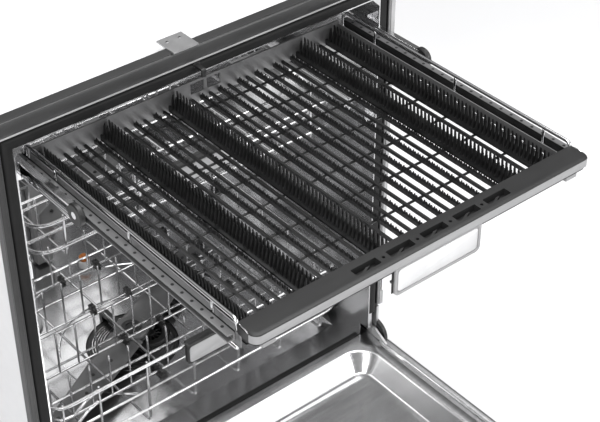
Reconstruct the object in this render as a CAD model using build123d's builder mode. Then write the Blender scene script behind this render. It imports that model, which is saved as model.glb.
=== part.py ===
"""Built-in dishwasher, 598 mm wide, with two wire racks and a full-width cutlery tray.

Millimetres. +X runs across the width, -Y points out of the open front and +Z is up.
The origin is on the floor, at the bottom centre of the machine with its door open flat.
The model stands with the door open, the cutlery tray drawn out and both racks pushed in.
"""

import os
from math import cos, radians, sin

from build123d import *

os.makedirs("parts", exist_ok=True)

# Cabinet
WIDTH = 598.0
HEIGHT = 820.0
DEPTH = 555.0
DOOR_REACH = 606.0
FRONT = (DOOR_REACH - DEPTH) / 2
HALF = WIDTH / 2
SHEET = 1.2
FRAME_THICKNESS = 16.0
BAND_HEIGHT = 22.0
JAMB_WIDTH = 10.0
JAMB_BOTTOM = 249.0

# Wash tub, inside faces
TUB_HALF = 272.0
TUB_FLOOR = 172.0
SILL_TOP = 190.0
TUB_CEILING = 779.0
TUB_BACK = FRONT + 505.0
TUB_FRONT = FRONT + 2.0
SILL_FRONT = FRONT + 20.0
SILL_BACK = FRONT + 60.0
FLOOR_START = FRONT + 140.0
LEDGE_WIDTH = 20.0
TUB_CORNER = 12.0
FLOOR_SEAM = 0.1
SEAL_WIDTH = 9.0

# Door, open flat
PIVOT_Y = FRONT + 8.0
PIVOT_Z = 198.0
PIVOT_RADIUS = 4.0
DOOR_HALF = 297.0
DOOR_TOP = 189.0
DOOR_BOTTOM = 140.0
LINER_BOTTOM = 159.2
LINER_SHEET = 1.5
LINER_REAR = FRONT + 18.0
DOOR_REAR = FRONT + 88.0
DOOR_TUCK_TOP = 175.0
DOOR_FRONT = FRONT - DOOR_REACH
FASCIA_DEPTH = 60.0
PAN_HALF = 262.0
PAN_DEPTH = 28.0
PAN_SLOPE = 38.0
PAN_REAR = FRONT - 2.0
PAN_FRONT = FRONT - 528.0

# Cutlery tray, drawn out
TRAY_HALF = 242.0
TRAY_WIRE_X = 240.0
TRAY_FRONT = FRONT - 389.0
TRAY_RAIL_BACK = FRONT - 359.0
TRAY_REAR = FRONT + 42.0
TRAY_TOP = 758.0
TRAY_RAIL_TOP = 753.0
TRAY_BASE = 712.0
SLIDE_TOP = 752.0
SLIDE_BOTTOM = 728.0

# Racks, pushed in
UPPER_HALF = 240.0
UPPER_FRONT = FRONT + 45.0
UPPER_BACK = FRONT + 462.0
UPPER_FLOOR = 560.0
UPPER_RIM = 625.0
LOWER_HALF = 250.0
LOWER_FRONT = FRONT + 42.0
LOWER_BACK = FRONT + 470.0
LOWER_FLOOR = 212.0
LOWER_RIM = 328.0

# Wires
RIM_RADIUS = 2.5
WIRE_RADIUS = 2.0
TINE_RADIUS = 1.7
WELD_GAP = 0.05

# Spray arms and water path
ARM_Y = FRONT + 240.0
SUMP_RADIUS = 72.0
ARM_PIN = 7.95
FILTER_X = 32.0


def centred_box(x, y, z, mode=Mode.ADD):
    """Add a box that spans the three (low, high) pairs to the open part."""
    with Locations(((x[0] + x[1]) / 2, (y[0] + y[1]) / 2, (z[0] + z[1]) / 2)):
        Box(x[1] - x[0], y[1] - y[0], z[1] - z[0], mode=mode)


def wires_along_x(places, half_length, radius):
    """Add straight wires along X, one at each (y, z) place."""
    with BuildSketch(Plane.YZ.offset(-half_length)) as ends:
        with Locations(*places):
            Circle(radius)
    extrude(ends.sketch, amount=2 * half_length)


def wires_along_y(places, front, back, radius):
    """Add straight wires along Y, one at each (x, z) place."""
    with BuildSketch(Plane.XZ.offset(-back)) as ends:
        with Locations(*places):
            Circle(radius)
    extrude(ends.sketch, amount=back - front)


def wires_up(places, bottom, top, radius):
    """Add upright wires, one at each (x, y) place."""
    with BuildSketch(Plane.XY.offset(bottom)) as ends:
        with Locations(*places):
            Circle(radius)
    extrude(ends.sketch, amount=top - bottom)


def bent_wire(points, radius, bend, close=False):
    """Add one round wire made of straight runs joined by tangent bends."""
    with BuildLine() as route:
        FilletPolyline(*points, radius=bend, close=close)
    with BuildSketch(Plane(origin=route.line @ 0, z_dir=route.line % 0)) as end:
        Circle(radius)
    sweep(end.sketch, path=route.line)


def rim_loop(half_x, front, back, height, radius, bend):
    """Add a closed horizontal wire loop with round corners."""
    corners = [(-half_x, front, height), (half_x, front, height)]
    corners += [(half_x, back, height), (-half_x, back, height)]
    bent_wire(corners, radius, bend, close=True)


def spaced(first, last, count):
    """Return evenly spaced numbers from first to last."""
    return [first + (last - first) * step / (count - 1) for step in range(count)]


def sawtooth_outline(front, back, base, root, tip, pitch):
    """Return the outline of a toothed blade in the YZ plane."""
    count = int((back - front) / pitch)
    points = [(front, base), (front, root)]
    for tooth in range(count):
        start = front + tooth * pitch
        points += [(start + 0.35 * pitch, tip), (start + 0.65 * pitch, tip)]
        points += [(start + pitch, root)]
    points += [(back, root + 0.01), (back, base)]
    return points


# ---------------------------------------------------------------- wash tub
def tub_outline(grow):
    """Return the tub's side profile in the YZ plane, grown outwards by grow."""
    return [
        (SILL_FRONT, SILL_TOP - grow),
        (SILL_BACK, SILL_TOP - grow),
        (FLOOR_START, TUB_FLOOR - grow),
        (TUB_BACK + grow, TUB_FLOOR - grow),
        (TUB_BACK + grow, TUB_CEILING + grow),
        (TUB_FRONT, TUB_CEILING + grow),
        (TUB_FRONT, SILL_TOP + 20),
        (SILL_FRONT, SILL_TOP + 20),
    ]


with BuildPart() as tub_cavity:
    with BuildSketch(Plane.YZ.offset(-TUB_HALF)):
        with BuildLine():
            Polyline(*tub_outline(0), close=True)
        make_face()
    extrude(amount=2 * TUB_HALF)
    ceiling_edges = tub_cavity.edges().filter_by(Axis.Y).group_by(Axis.Z)[-1]
    fillet(ceiling_edges, TUB_CORNER)

with BuildPart() as tub:
    with BuildSketch(Plane.YZ.offset(-TUB_HALF - SHEET)):
        with BuildLine():
            Polyline(*tub_outline(SHEET), close=True)
        make_face()
    extrude(amount=2 * (TUB_HALF + SHEET))
    fillet(tub.edges().filter_by(Axis.Y).group_by(Axis.Z)[-1], TUB_CORNER + SHEET)
    add(tub_cavity.part, mode=Mode.SUBTRACT)
    # Turned-out front lip round the opening
    with BuildSketch(Plane.XZ.offset(-TUB_FRONT - SHEET)):
        with BuildLine():
            Polyline(
                (-TUB_HALF - 7, SILL_TOP + 20),
                (-TUB_HALF - 7, TUB_CEILING + 7),
                (TUB_HALF + 7, TUB_CEILING + 7),
                (TUB_HALF + 7, SILL_TOP + 20),
                (TUB_HALF, SILL_TOP + 20),
                (TUB_HALF, TUB_CEILING - TUB_CORNER),
                (TUB_HALF - TUB_CORNER, TUB_CEILING),
                (-TUB_HALF + TUB_CORNER, TUB_CEILING),
                (-TUB_HALF, TUB_CEILING - TUB_CORNER),
                (-TUB_HALF, SILL_TOP + 20),
                close=True,
            )
        make_face()
    extrude(amount=SHEET)
    # Ledges that carry the lower rack's wheels
    for side in (-1, 1):
        ledge_x = sorted((side * (TUB_HALF - LEDGE_WIDTH), side * (TUB_HALF + 0.2)))
        with BuildSketch(Plane.YZ.offset(ledge_x[0])):
            with BuildLine():
                Polyline(
                    (SILL_BACK, SILL_TOP),
                    (TUB_BACK + 0.2, SILL_TOP),
                    (TUB_BACK + 0.2, TUB_FLOOR - 0.2),
                    (FLOOR_START, TUB_FLOOR - 0.2),
                    close=True,
                )
            make_face()
        extrude(amount=ledge_x[1] - ledge_x[0])
    # Hole over the sump
    with Locations((0, ARM_Y, TUB_FLOOR)):
        Cylinder(SUMP_RADIUS, 8, mode=Mode.SUBTRACT)
    # Seam where the floor pressing meets the wrapped walls
    with Locations((0, (TUB_FRONT + TUB_BACK) / 2, SILL_TOP + 0.25)):
        Box(2 * HALF, 700, FLOOR_SEAM, mode=Mode.SUBTRACT)
tub.part.label = "tub"
export_step(tub.part, "parts/tub.step")

SEAL_INNER = TUB_HALF + 7.5
with BuildPart() as tub_seal:
    with BuildSketch(Plane.XZ.offset(-FRONT - 15)):
        with BuildLine():
            Polyline(
                (-SEAL_INNER - SEAL_WIDTH, JAMB_BOTTOM - 10),
                (-SEAL_INNER - SEAL_WIDTH, TUB_CEILING + 7.5 + SEAL_WIDTH),
                (SEAL_INNER + SEAL_WIDTH, TUB_CEILING + 7.5 + SEAL_WIDTH),
                (SEAL_INNER + SEAL_WIDTH, JAMB_BOTTOM - 10),
                (SEAL_INNER, JAMB_BOTTOM - 10),
                (SEAL_INNER, TUB_CEILING + 7.5),
                (-SEAL_INNER, TUB_CEILING + 7.5),
                (-SEAL_INNER, JAMB_BOTTOM - 10),
                close=True,
            )
        make_face()
    extrude(amount=14.0)
    front_face = tub_seal.faces().sort_by(Axis.Y)[0]
    chamfer(front_face.edges().filter_by(Axis.Z), 2.0)
    # Gap for the latch strike
    centred_box((-27, -15), (FRONT, FRONT + 16), (TUB_CEILING + 7, TUB_CEILING + 18), Mode.SUBTRACT)
    # Lip seal along the sill
    with BuildSketch(Plane.YZ.offset(-TUB_HALF + 4)):
        with BuildLine():
            Polyline(
                (LINER_REAR + 0.4, SILL_TOP - 12),
                (LINER_REAR + 0.4, SILL_TOP - 1),
                (LINER_REAR + 1.6, SILL_TOP + 0.25),
                (SILL_FRONT + 6, SILL_TOP + 0.25),
                (SILL_FRONT + 6, SILL_TOP + 0.05),
                (SILL_FRONT - 0.2, SILL_TOP + 0.05),
                (SILL_FRONT - 0.2, SILL_TOP - 12),
                close=True,
            )
        make_face()
    extrude(amount=2 * (TUB_HALF - 4))
tub_seal.part.label = "tub_seal"
export_step(tub_seal.part, "parts/tub_seal.step")

# ---------------------------------------------------------------- front frame
with BuildPart() as front_frame:
    with BuildSketch(Plane.XZ.offset(-FRONT - FRAME_THICKNESS)):
        with BuildLine():
            Polyline(
                (-HALF, JAMB_BOTTOM),
                (-HALF, HEIGHT),
                (HALF, HEIGHT),
                (HALF, JAMB_BOTTOM),
                (HALF - JAMB_WIDTH, JAMB_BOTTOM),
                (HALF - JAMB_WIDTH, HEIGHT - BAND_HEIGHT),
                (-HALF + JAMB_WIDTH, HEIGHT - BAND_HEIGHT),
                (-HALF + JAMB_WIDTH, JAMB_BOTTOM),
                close=True,
            )
        make_face()
    extrude(amount=FRAME_THICKNESS)
    top_front = front_frame.faces().sort_by(Axis.Y)[0].edges().sort_by(Axis.Z)[-1]
    chamfer(top_front, 3.0)
    # Slot low in each jamb where the hinge lever shows
    for side in (-1, 1):
        with Locations((side * (HALF - 2.5), FRONT, JAMB_BOTTOM + 55)):
            Box(5.2, 12.0, 60.0, mode=Mode.SUBTRACT)
front_frame.part.label = "front_frame"
export_step(front_frame.part, "parts/front_frame.step")

BRACKET_X = -37.0
with BuildPart() as top_fixing_bracket:
    bracket_x = (BRACKET_X - 18, BRACKET_X + 18)
    centred_box(bracket_x, (FRONT - 1.5, FRONT + 34), (HEIGHT + 0.1, HEIGHT + 2.1))
    for hole_x in (BRACKET_X - 9, BRACKET_X + 9):
        with Locations((hole_x, FRONT + 24, HEIGHT + 2.1)):
            Hole(2.25)
top_fixing_bracket.part.label = "top_fixing_bracket"
export_step(top_fixing_bracket.part, "parts/top_fixing_bracket.step")

with BuildPart() as latch_strike:
    centred_box((-26, -16), (FRONT + 1.0, FRONT + 9.0), (TUB_CEILING + 8.2, TUB_CEILING + 16.4))
    centred_box((-24, -18), (FRONT - 13.0, FRONT + 8.0), (TUB_CEILING + 9.5, TUB_CEILING + 13.5))
    centred_box((-24, -18), (FRONT - 13.0, FRONT - 10.0), (TUB_CEILING + 2.0, TUB_CEILING + 13.5))
latch_strike.part.label = "latch_strike"
export_step(latch_strike.part, "parts/latch_strike.step")

# ---------------------------------------------------------------- outer panels
PANEL_OUTER = HALF - 0.2
PANEL_TOP = HEIGHT - 14.0
SIDE_CUT_Y = FRONT + 100.0
HOSE_X = 190.0
HOSE_Z = 120.0
with BuildPart() as outer_panels:
    for side in (-1, 1):
        with BuildSketch(Plane.YZ.offset(side * PANEL_OUTER)):
            with BuildLine():
                Polyline(
                    (FRONT + FRAME_THICKNESS + 0.3, JAMB_BOTTOM),
                    (FRONT + FRAME_THICKNESS + 0.3, PANEL_TOP),
                    (FRONT + DEPTH - 1.6, PANEL_TOP),
                    (FRONT + DEPTH - 1.6, 60.0),
                    (SIDE_CUT_Y + 6, 60.0),
                    (SIDE_CUT_Y + 6, JAMB_BOTTOM - 30),
                    (SIDE_CUT_Y - 24, JAMB_BOTTOM),
                    close=True,
                )
            make_face()
        extrude(amount=-side * SHEET)
    # Back sheet with openings for the hoses
    centred_box(
        (-PANEL_OUTER + 0.1, PANEL_OUTER - 0.1),
        (FRONT + DEPTH - SHEET, FRONT + DEPTH),
        (62.0, PANEL_TOP),
    )
    for hose_x in (-HOSE_X, HOSE_X):
        with Locations((hose_x, FRONT + DEPTH - SHEET / 2, HOSE_Z)):
            Box(80, 6, 70, mode=Mode.SUBTRACT)
outer_panels.part.label = "outer_panels"
export_step(outer_panels.part, "parts/outer_panels.step")

with BuildPart() as top_cover:
    centred_box(
        (-PANEL_OUTER + 1.6, PANEL_OUTER - 1.6),
        (FRONT + FRAME_THICKNESS + 0.3, FRONT + DEPTH - 1.8),
        (PANEL_TOP - 2.0, PANEL_TOP),
    )
top_cover.part.label = "top_cover"
export_step(top_cover.part, "parts/top_cover.step")

# ---------------------------------------------------------------- base and feet
BASE_FRONT = FRONT + 104.0
BASE_BACK = FRONT + DEPTH - 2.0
BASE_HALF = PANEL_OUTER - 1.6
BASE_BOTTOM = 30.0
BASE_TOP = 100.0
FOOT_YS = (FRONT + 82, BASE_BACK - 20)
with BuildPart() as base_tray:
    centred_box((-BASE_HALF, BASE_HALF), (BASE_FRONT, BASE_BACK), (BASE_BOTTOM, BASE_TOP))
    centred_box(
        (-BASE_HALF + 26, BASE_HALF - 26),
        (BASE_FRONT + 4, BASE_BACK - 30),
        (BASE_BOTTOM + 4, BASE_TOP + 1),
        mode=Mode.SUBTRACT,
    )
    # Forward arms that carry the front feet and the hinge brackets
    for side in (-1, 1):
        edges_x = sorted((side * BASE_HALF, side * (BASE_HALF - 26)))
        centred_box(edges_x, (FRONT + 62, BASE_FRONT + 1), (BASE_BOTTOM, BASE_TOP))
    for foot_y in FOOT_YS:
        for side in (-1, 1):
            with Locations((side * (BASE_HALF - 13), foot_y, BASE_BOTTOM + 35)):
                Cylinder(5.3, 80, mode=Mode.SUBTRACT)
base_tray.part.label = "base_tray"
export_step(base_tray.part, "parts/base_tray.step")

FOOT_X = BASE_HALF - 13
FOOT_PLACES = {
    "front_left_foot": (-FOOT_X, FOOT_YS[0]),
    "front_right_foot": (FOOT_X, FOOT_YS[0]),
    "rear_left_foot": (-FOOT_X, FOOT_YS[1]),
    "rear_right_foot": (FOOT_X, FOOT_YS[1]),
}
for foot_name, foot_place in FOOT_PLACES.items():
    with BuildPart() as foot:
        with BuildSketch(Plane.XY):
            with Locations(foot_place):
                RegularPolygon(14.0, 6)
        extrude(amount=12.0)
        with BuildSketch(Plane.XY.offset(12.0)):
            with Locations(foot_place):
                Circle(5.0)
        extrude(amount=70.0)
    foot.part.label = foot_name
    export_step(foot.part, "parts/" + foot_name + ".step")

with BuildPart() as kick_plate:
    centred_box((-HALF + 3, HALF - 3), (FRONT + 56, FRONT + 58.5), (18.0, 98.0))
    centred_box((-HALF + 3, HALF - 3), (FRONT + 58.5, FRONT + 61.5), (18.0, 24.0))
    for column in spaced(-136, 136, 9):
        with Locations((column, FRONT + 57, 64)):
            Box(22, 12, 5, mode=Mode.SUBTRACT)
kick_plate.part.label = "kick_plate"
export_step(kick_plate.part, "parts/kick_plate.step")

# ---------------------------------------------------------------- wet works under the tub
with BuildPart() as sump:
    with BuildSketch(Plane.XY.offset(112.0)):
        with Locations((0, ARM_Y)):
            Circle(SUMP_RADIUS - 2)
    extrude(amount=59.5)
    with BuildSketch(Plane.XY.offset(115.0)):
        with Locations((0, ARM_Y)):
            Circle(SUMP_RADIUS - 5)
    extrude(amount=60.0, mode=Mode.SUBTRACT)
    # Flat filter plate with the opening for the filter cup
    with BuildSketch(Plane.XY.offset(TUB_FLOOR - 1.5)):
        with Locations((0, ARM_Y)):
            Circle(SUMP_RADIUS - 5.5)
        with Locations((FILTER_X, ARM_Y)):
            Circle(30.4, mode=Mode.SUBTRACT)
        with Locations((-28, ARM_Y)):
            Circle(13.2, mode=Mode.SUBTRACT)
    extrude(amount=1.5)
    # Bridge over the filter with the post that the lower spray arm turns on
    with BuildSketch(Plane.XY.offset(TUB_FLOOR + 8)):
        with Locations((0, ARM_Y)):
            Circle(ARM_PIN)
    extrude(amount=26)
    centred_box((-6, 6), (ARM_Y - 84, ARM_Y + 84), (TUB_FLOOR + 8, TUB_FLOOR + 14))
    for end in (-1, 1):
        foot_y = sorted((ARM_Y + end * 84, ARM_Y + end * 76))
        centred_box((-6, 6), foot_y, (TUB_FLOOR + 0.1, TUB_FLOOR + 8.5))
sump.part.label = "sump"
export_step(sump.part, "parts/sump.step")

with BuildPart() as filter_cup:
    with BuildSketch(Plane.XY.offset(118.0)):
        with Locations((FILTER_X, ARM_Y)):
            Circle(29.8)
            Circle(27.8, mode=Mode.SUBTRACT)
    extrude(amount=59.0)
    with BuildSketch(Plane.XY.offset(172.5)):
        with Locations((FILTER_X, ARM_Y)):
            SlotOverall(56, 9)
            SlotOverall(56, 9, rotation=90)
    extrude(amount=4.5)
filter_cup.part.label = "filter_cup"
export_step(filter_cup.part, "parts/filter_cup.step")

with BuildPart() as pumps:
    # Wash pump body and its outlet neck
    with BuildSketch(Plane.YZ.offset(-170)):
        with Locations((ARM_Y + 10, 136)):
            Circle(32)
    extrude(amount=60)
    with BuildSketch(Plane.YZ.offset(-110)):
        with Locations((ARM_Y + 10, 136)):
            Circle(22)
    extrude(amount=38)
    # Ring heater round the wash pump's inlet
    with BuildSketch(Plane.YZ.offset(-206)):
        with Locations((ARM_Y + 10, 136)):
            Circle(26)
            Circle(20, mode=Mode.SUBTRACT)
    extrude(amount=35.7)
    # Drain pump
    with BuildSketch(Plane.YZ.offset(74)):
        with Locations((ARM_Y + 4, 136)):
            Circle(24)
    extrude(amount=52)
pumps.part.label = "pumps"
export_step(pumps.part, "parts/pumps.step")

with BuildPart() as water_softener:
    centred_box((-190, -30), (ARM_Y + 88, ARM_Y + 220), (104, 166))
    fillet(water_softener.edges().filter_by(Axis.Z), 12)
water_softener.part.label = "water_softener"
export_step(water_softener.part, "parts/water_softener.step")

SALT_X = -110.0
SALT_Y = ARM_Y + 140.0
with BuildPart() as salt_cap:
    with BuildSketch(Plane.XY.offset(TUB_FLOOR + 0.3)):
        with Locations((SALT_X, SALT_Y)):
            Circle(30)
    extrude(amount=8)
    chamfer(salt_cap.edges().group_by(Axis.Z)[-1], 2)
    with BuildSketch(Plane.XY.offset(TUB_FLOOR + 8.3)):
        with Locations((SALT_X, SALT_Y)):
            SlotOverall(46, 8)
    extrude(amount=6)
salt_cap.part.label = "salt_cap"
export_step(salt_cap.part, "parts/salt_cap.step")

with BuildPart() as rear_connections:
    # Water inlet valve with its 3/4 inch threaded spigot
    centred_box((-HOSE_X - 32, -HOSE_X + 32), (FRONT + DEPTH - 50, FRONT + DEPTH - 22), (102, 142))
    with BuildSketch(Plane.XZ.offset(-(FRONT + DEPTH - 4))):
        with Locations((-HOSE_X, HOSE_Z)):
            Circle(13.2)
            Circle(8, mode=Mode.SUBTRACT)
    extrude(amount=18)
    # Drain hose spigot
    centred_box((HOSE_X - 26, HOSE_X + 26), (FRONT + DEPTH - 40, FRONT + DEPTH - 22), (102, 140))
    with BuildSketch(Plane.XZ.offset(-(FRONT + DEPTH - 1))):
        with Locations((HOSE_X, HOSE_Z)):
            Circle(9.5)
            Circle(7.5, mode=Mode.SUBTRACT)
    extrude(amount=21)
    # Mains terminal box
    centred_box((60, 130), (FRONT + DEPTH - 44, FRONT + DEPTH - 2), (104, 150))
rear_connections.part.label = "rear_connections"
export_step(rear_connections.part, "parts/rear_connections.step")

with BuildPart() as water_inlet_box:
    centred_box((-HALF + 3, -TUB_HALF - 3), (FRONT + 120, FRONT + 470), (330, 720))
    fillet(water_inlet_box.edges().filter_by(Axis.X), 20)
water_inlet_box.part.label = "water_inlet_box"
export_step(water_inlet_box.part, "parts/water_inlet_box.step")

# ---------------------------------------------------------------- spray arms and feed pipe
FEED_TOP = TUB_CEILING - 2.0
DOCK_Z = 548.0
with BuildPart() as feed_pipe:
    centred_box((-14, 14), (TUB_BACK - 15, TUB_BACK - 1), (TUB_FLOOR + 6, FEED_TOP))
    centred_box((-12, 12), (ARM_Y, TUB_BACK - 14), (FEED_TOP - 5, FEED_TOP))
    centred_box((-9, 9), (TUB_BACK - 24, TUB_BACK - 14), (DOCK_Z - 9, DOCK_Z + 9))
    # Headed pin that the top spray arm turns on
    with BuildSketch(Plane.XY.offset(747.5)):
        with Locations((0, ARM_Y)):
            Circle(4.95)
    extrude(amount=FEED_TOP - 4.5 - 747.5)
    with BuildSketch(Plane.XY.offset(746.0)):
        with Locations((0, ARM_Y)):
            Circle(7)
    extrude(amount=1.7)
feed_pipe.part.label = "feed_pipe"
export_step(feed_pipe.part, "parts/feed_pipe.step")


def spray_arm(centre_z, length, width, thickness, hub_radius, hub_height, bore):
    """Add a two-bladed spray arm with a hub and a pivot bore to the open part."""
    with BuildSketch(Plane.XY.offset(centre_z)) as blades:
        with Locations((0, ARM_Y)):
            SlotOverall(length, width, rotation=28)
            Circle(hub_radius)
            Circle(bore, mode=Mode.SUBTRACT)
    extrude(blades.sketch, amount=thickness)
    with BuildSketch(Plane.XY.offset(centre_z + thickness)) as hub:
        with Locations((0, ARM_Y)):
            Circle(hub_radius)
            Circle(bore, mode=Mode.SUBTRACT)
    extrude(hub.sketch, amount=hub_height)
    # Spray nozzles along both blades
    for step in (-3, -2, -1, 1, 2, 3):
        reach = step * length * 0.14
        nozzle_x = reach * cos(radians(28))
        nozzle_y = ARM_Y + reach * sin(radians(28))
        with Locations((nozzle_x, nozzle_y, centre_z + thickness)):
            Cylinder(1.6, thickness, mode=Mode.SUBTRACT)


with BuildPart() as lower_spray_arm:
    spray_arm(193.0, 440.0, 46.0, 8.0, 27.0, 4.0, 8.0)
lower_spray_arm.part.label = "lower_spray_arm"
export_step(lower_spray_arm.part, "parts/lower_spray_arm.step")

UPPER_ARM_Z = 534.0
with BuildPart() as upper_spray_arm:
    spray_arm(UPPER_ARM_Z, 390.0, 40.0, 7.0, 22.0, 3.0, 8.0)
upper_spray_arm.part.label = "upper_spray_arm"
export_step(upper_spray_arm.part, "parts/upper_spray_arm.step")

with BuildPart() as upper_manifold:
    with BuildSketch(Plane.XY.offset(UPPER_ARM_Z - 2)):
        with Locations((0, ARM_Y)):
            Circle(ARM_PIN)
    extrude(amount=20)
    centred_box((-11, 11), (ARM_Y - 12, TUB_BACK - 26), (UPPER_ARM_Z + 10.4, UPPER_FLOOR - 5))
upper_manifold.part.label = "upper_manifold"
export_step(upper_manifold.part, "parts/upper_manifold.step")

with BuildPart() as top_spray_arm:
    with BuildSketch(Plane.XY.offset(748.0)):
        with Locations((0, ARM_Y)):
            SlotOverall(180, 24, rotation=28)
            Circle(15)
            Circle(5.0, mode=Mode.SUBTRACT)
    extrude(amount=6)
top_spray_arm.part.label = "top_spray_arm"
export_step(top_spray_arm.part, "parts/top_spray_arm.step")

# ---------------------------------------------------------------- cutlery tray slides
RAIL_FIXED_X = (TUB_HALF - 10.0, TUB_HALF - 0.3)
RAIL_MID_X = (TUB_HALF - 19.0, TUB_HALF - 10.6)
RAIL_INNER_X = (TRAY_WIRE_X + 2.6, TUB_HALF - 19.6)


def side_strips(span_x, span_y, span_z):
    """Add the same box on the left and the right."""
    for side in (-1, 1):
        centred_box(sorted((side * span_x[0], side * span_x[1])), span_y, span_z)


with BuildPart() as tray_middle_rails:
    side_strips(RAIL_MID_X, (FRONT - 98, FRONT + 250), (SLIDE_BOTTOM + 2, SLIDE_TOP - 2))
    for side in (-1, 1):
        x_span = sorted((side * (RAIL_MID_X[0] + 0.5), side * RAIL_MID_X[1]))
        with BuildSketch(Plane.YZ.offset(x_span[0])):
            with Locations((FRONT - 96, (SLIDE_TOP + SLIDE_BOTTOM) / 2)):
                Circle(14.0)
        extrude(amount=x_span[1] - x_span[0])
tray_middle_rails.part.label = "tray_middle_rails"
export_step(tray_middle_rails.part, "parts/tray_middle_rails.step")

# ---------------------------------------------------------------- cutlery tray
STRIP_THICKNESS = 2.2


def rail_outline(inset, back):
    """Draw the rail's outline from above, with round front corners, to be extruded."""
    with BuildSketch() as outline:
        with Locations((0, (TRAY_FRONT + inset + back) / 2)):
            Rectangle(2 * (TRAY_HALF - inset), back - TRAY_FRONT - inset)
        fillet(outline.vertices().group_by(Axis.Y)[0], 10 - inset)
    return outline.sketch


with BuildPart() as tray_front_rail:
    extrude(rail_outline(STRIP_THICKNESS + 0.1, TRAY_RAIL_BACK), amount=16)
    fillet(tray_front_rail.faces().sort_by(Axis.Z)[-1].edges(), 2.0)
    for slot_x in (-86, -38, 10, 58, 104):
        with Locations((slot_x, TRAY_FRONT + 14, 16)):
            Box(34, 12, 8, mode=Mode.SUBTRACT)
    for hole_x in (-62, -14, 34, 81):
        with Locations((hole_x, TRAY_FRONT + 14, 16)):
            Cylinder(2, 8, mode=Mode.SUBTRACT)
tray_front_rail.part = Pos(0, 0, TRAY_RAIL_TOP - 16) * tray_front_rail.part
tray_front_rail.part.label = "tray_front_rail"
export_step(tray_front_rail.part, "parts/tray_front_rail.step")

# Strip round the rail's front and ends
STRIP_Z = (TRAY_RAIL_TOP - 12.0, TRAY_RAIL_TOP - 0.8)
with BuildPart() as tray_trim:
    strip_height = STRIP_Z[1] - STRIP_Z[0]
    extrude(rail_outline(0, TRAY_FRONT + 20), amount=strip_height)
    extrude(rail_outline(STRIP_THICKNESS, TRAY_FRONT + 21), amount=strip_height, mode=Mode.SUBTRACT)
tray_trim.part = Pos(0, 0, STRIP_Z[0]) * tray_trim.part
tray_trim.part.label = "tray_trim"
export_step(tray_trim.part, "parts/tray_trim.step")

HANDLE_HALF = 63.0
HANDLE_X = 6.0
HANDLE_Z = (TRAY_RAIL_TOP - 48.5, STRIP_Z[0] - 0.1)
with BuildPart() as tray_handle:
    # Face flush with the strip above it, square at the top and round at the bottom
    with BuildSketch(Plane.XZ.offset(-TRAY_FRONT - 7)) as handle_face:
        with Locations((HANDLE_X, (HANDLE_Z[0] + HANDLE_Z[1]) / 2)):
            Rectangle(2 * HANDLE_HALF, HANDLE_Z[1] - HANDLE_Z[0])
        fillet(handle_face.vertices().group_by(Axis.Y)[0], 7)
    extrude(amount=7)
    handle_span = (HANDLE_X - HANDLE_HALF - 1, HANDLE_X + HANDLE_HALF + 1)
    rail_room = (TRAY_FRONT + STRIP_THICKNESS, TRAY_FRONT + 8)
    centred_box(handle_span, rail_room, (TRAY_RAIL_TOP - 16.1, HANDLE_Z[1] + 1), mode=Mode.SUBTRACT)
    # Pale plate set into the face
    with BuildSketch(Plane.XZ.offset(-TRAY_FRONT)):
        with Locations((HANDLE_X, (HANDLE_Z[0] + HANDLE_Z[1]) / 2)):
            RectangleRounded(2 * HANDLE_HALF - 8, HANDLE_Z[1] - HANDLE_Z[0] - 6, 5)
    extrude(amount=-1.4, mode=Mode.SUBTRACT)
    with BuildSketch(Plane.XZ.offset(-TRAY_FRONT - 1.4)):
        with Locations((HANDLE_X, (HANDLE_Z[0] + HANDLE_Z[1]) / 2)):
            RectangleRounded(2 * HANDLE_HALF - 8.4, HANDLE_Z[1] - HANDLE_Z[0] - 6.4, 4.8)
    extrude(amount=1.0)
    # Small tabs under both ends of the rail
    for tab_x in (-219, 219):
        tab_z = (TRAY_RAIL_TOP - 26, TRAY_RAIL_TOP - 16.1)
        centred_box((tab_x - 9, tab_x + 9), (TRAY_FRONT + 6, TRAY_FRONT + 15), tab_z)
tray_handle.part.label = "tray_handle"
export_step(tray_handle.part, "parts/tray_handle.step")

SKIRT_X = TRAY_WIRE_X - 7.0
with BuildPart() as tray_panels:
    for side in (-1, 1):
        with BuildSketch(Plane.YZ.offset(side * SKIRT_X)):
            with Locations(((TRAY_RAIL_BACK + TRAY_REAR) / 2, TRAY_BASE + 14)):
                Rectangle(TRAY_REAR - TRAY_RAIL_BACK - 6, 26)
            with Locations(((TRAY_RAIL_BACK + TRAY_REAR) / 2, TRAY_BASE + 14)):
                with GridLocations(16, 1, 22, 1):
                    SlotOverall(9, 4, mode=Mode.SUBTRACT)
        extrude(amount=side * 1.5)
    # Rear panel with two windows
    centred_box((-SKIRT_X, SKIRT_X), (TRAY_REAR - 3.6, TRAY_REAR - 1.6), (TRAY_BASE + 1, TRAY_BASE + 32))
    for window_x in (4, 29):
        with Locations((window_x, TRAY_REAR - 2.6, TRAY_BASE + 21)):
            Box(21, 8, 15, mode=Mode.SUBTRACT)
tray_panels.part.label = "tray_panels"
export_step(tray_panels.part, "parts/tray_panels.step")

# Toothed blades run front to back; tall ones hold handles, low ones hold blades
LOW_COMBS = (-205.0, -176.0, -148.0, -119.0, -91.0, -62.0, 8.0, 36.0, 66.0, 94.0, 124.0, 152.0)
TALL_COMBS = (-222.0, -133.0, -34.0, 168.0, 218.0)
PLAIN_BARS = (-190.0, -162.0, -105.0, -77.0, -48.0, -6.0, 22.0, 51.0, 80.0, 109.0, 138.0, 184.0, 201.0)
COMB_FRONT = TRAY_RAIL_BACK + 0.4
COMB_BACK = TRAY_REAR - 4.2
COMB_BASE = TRAY_BASE + 4.0
COMB_THICKNESS = 2.4
COMB_PITCH = 8.0


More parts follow.
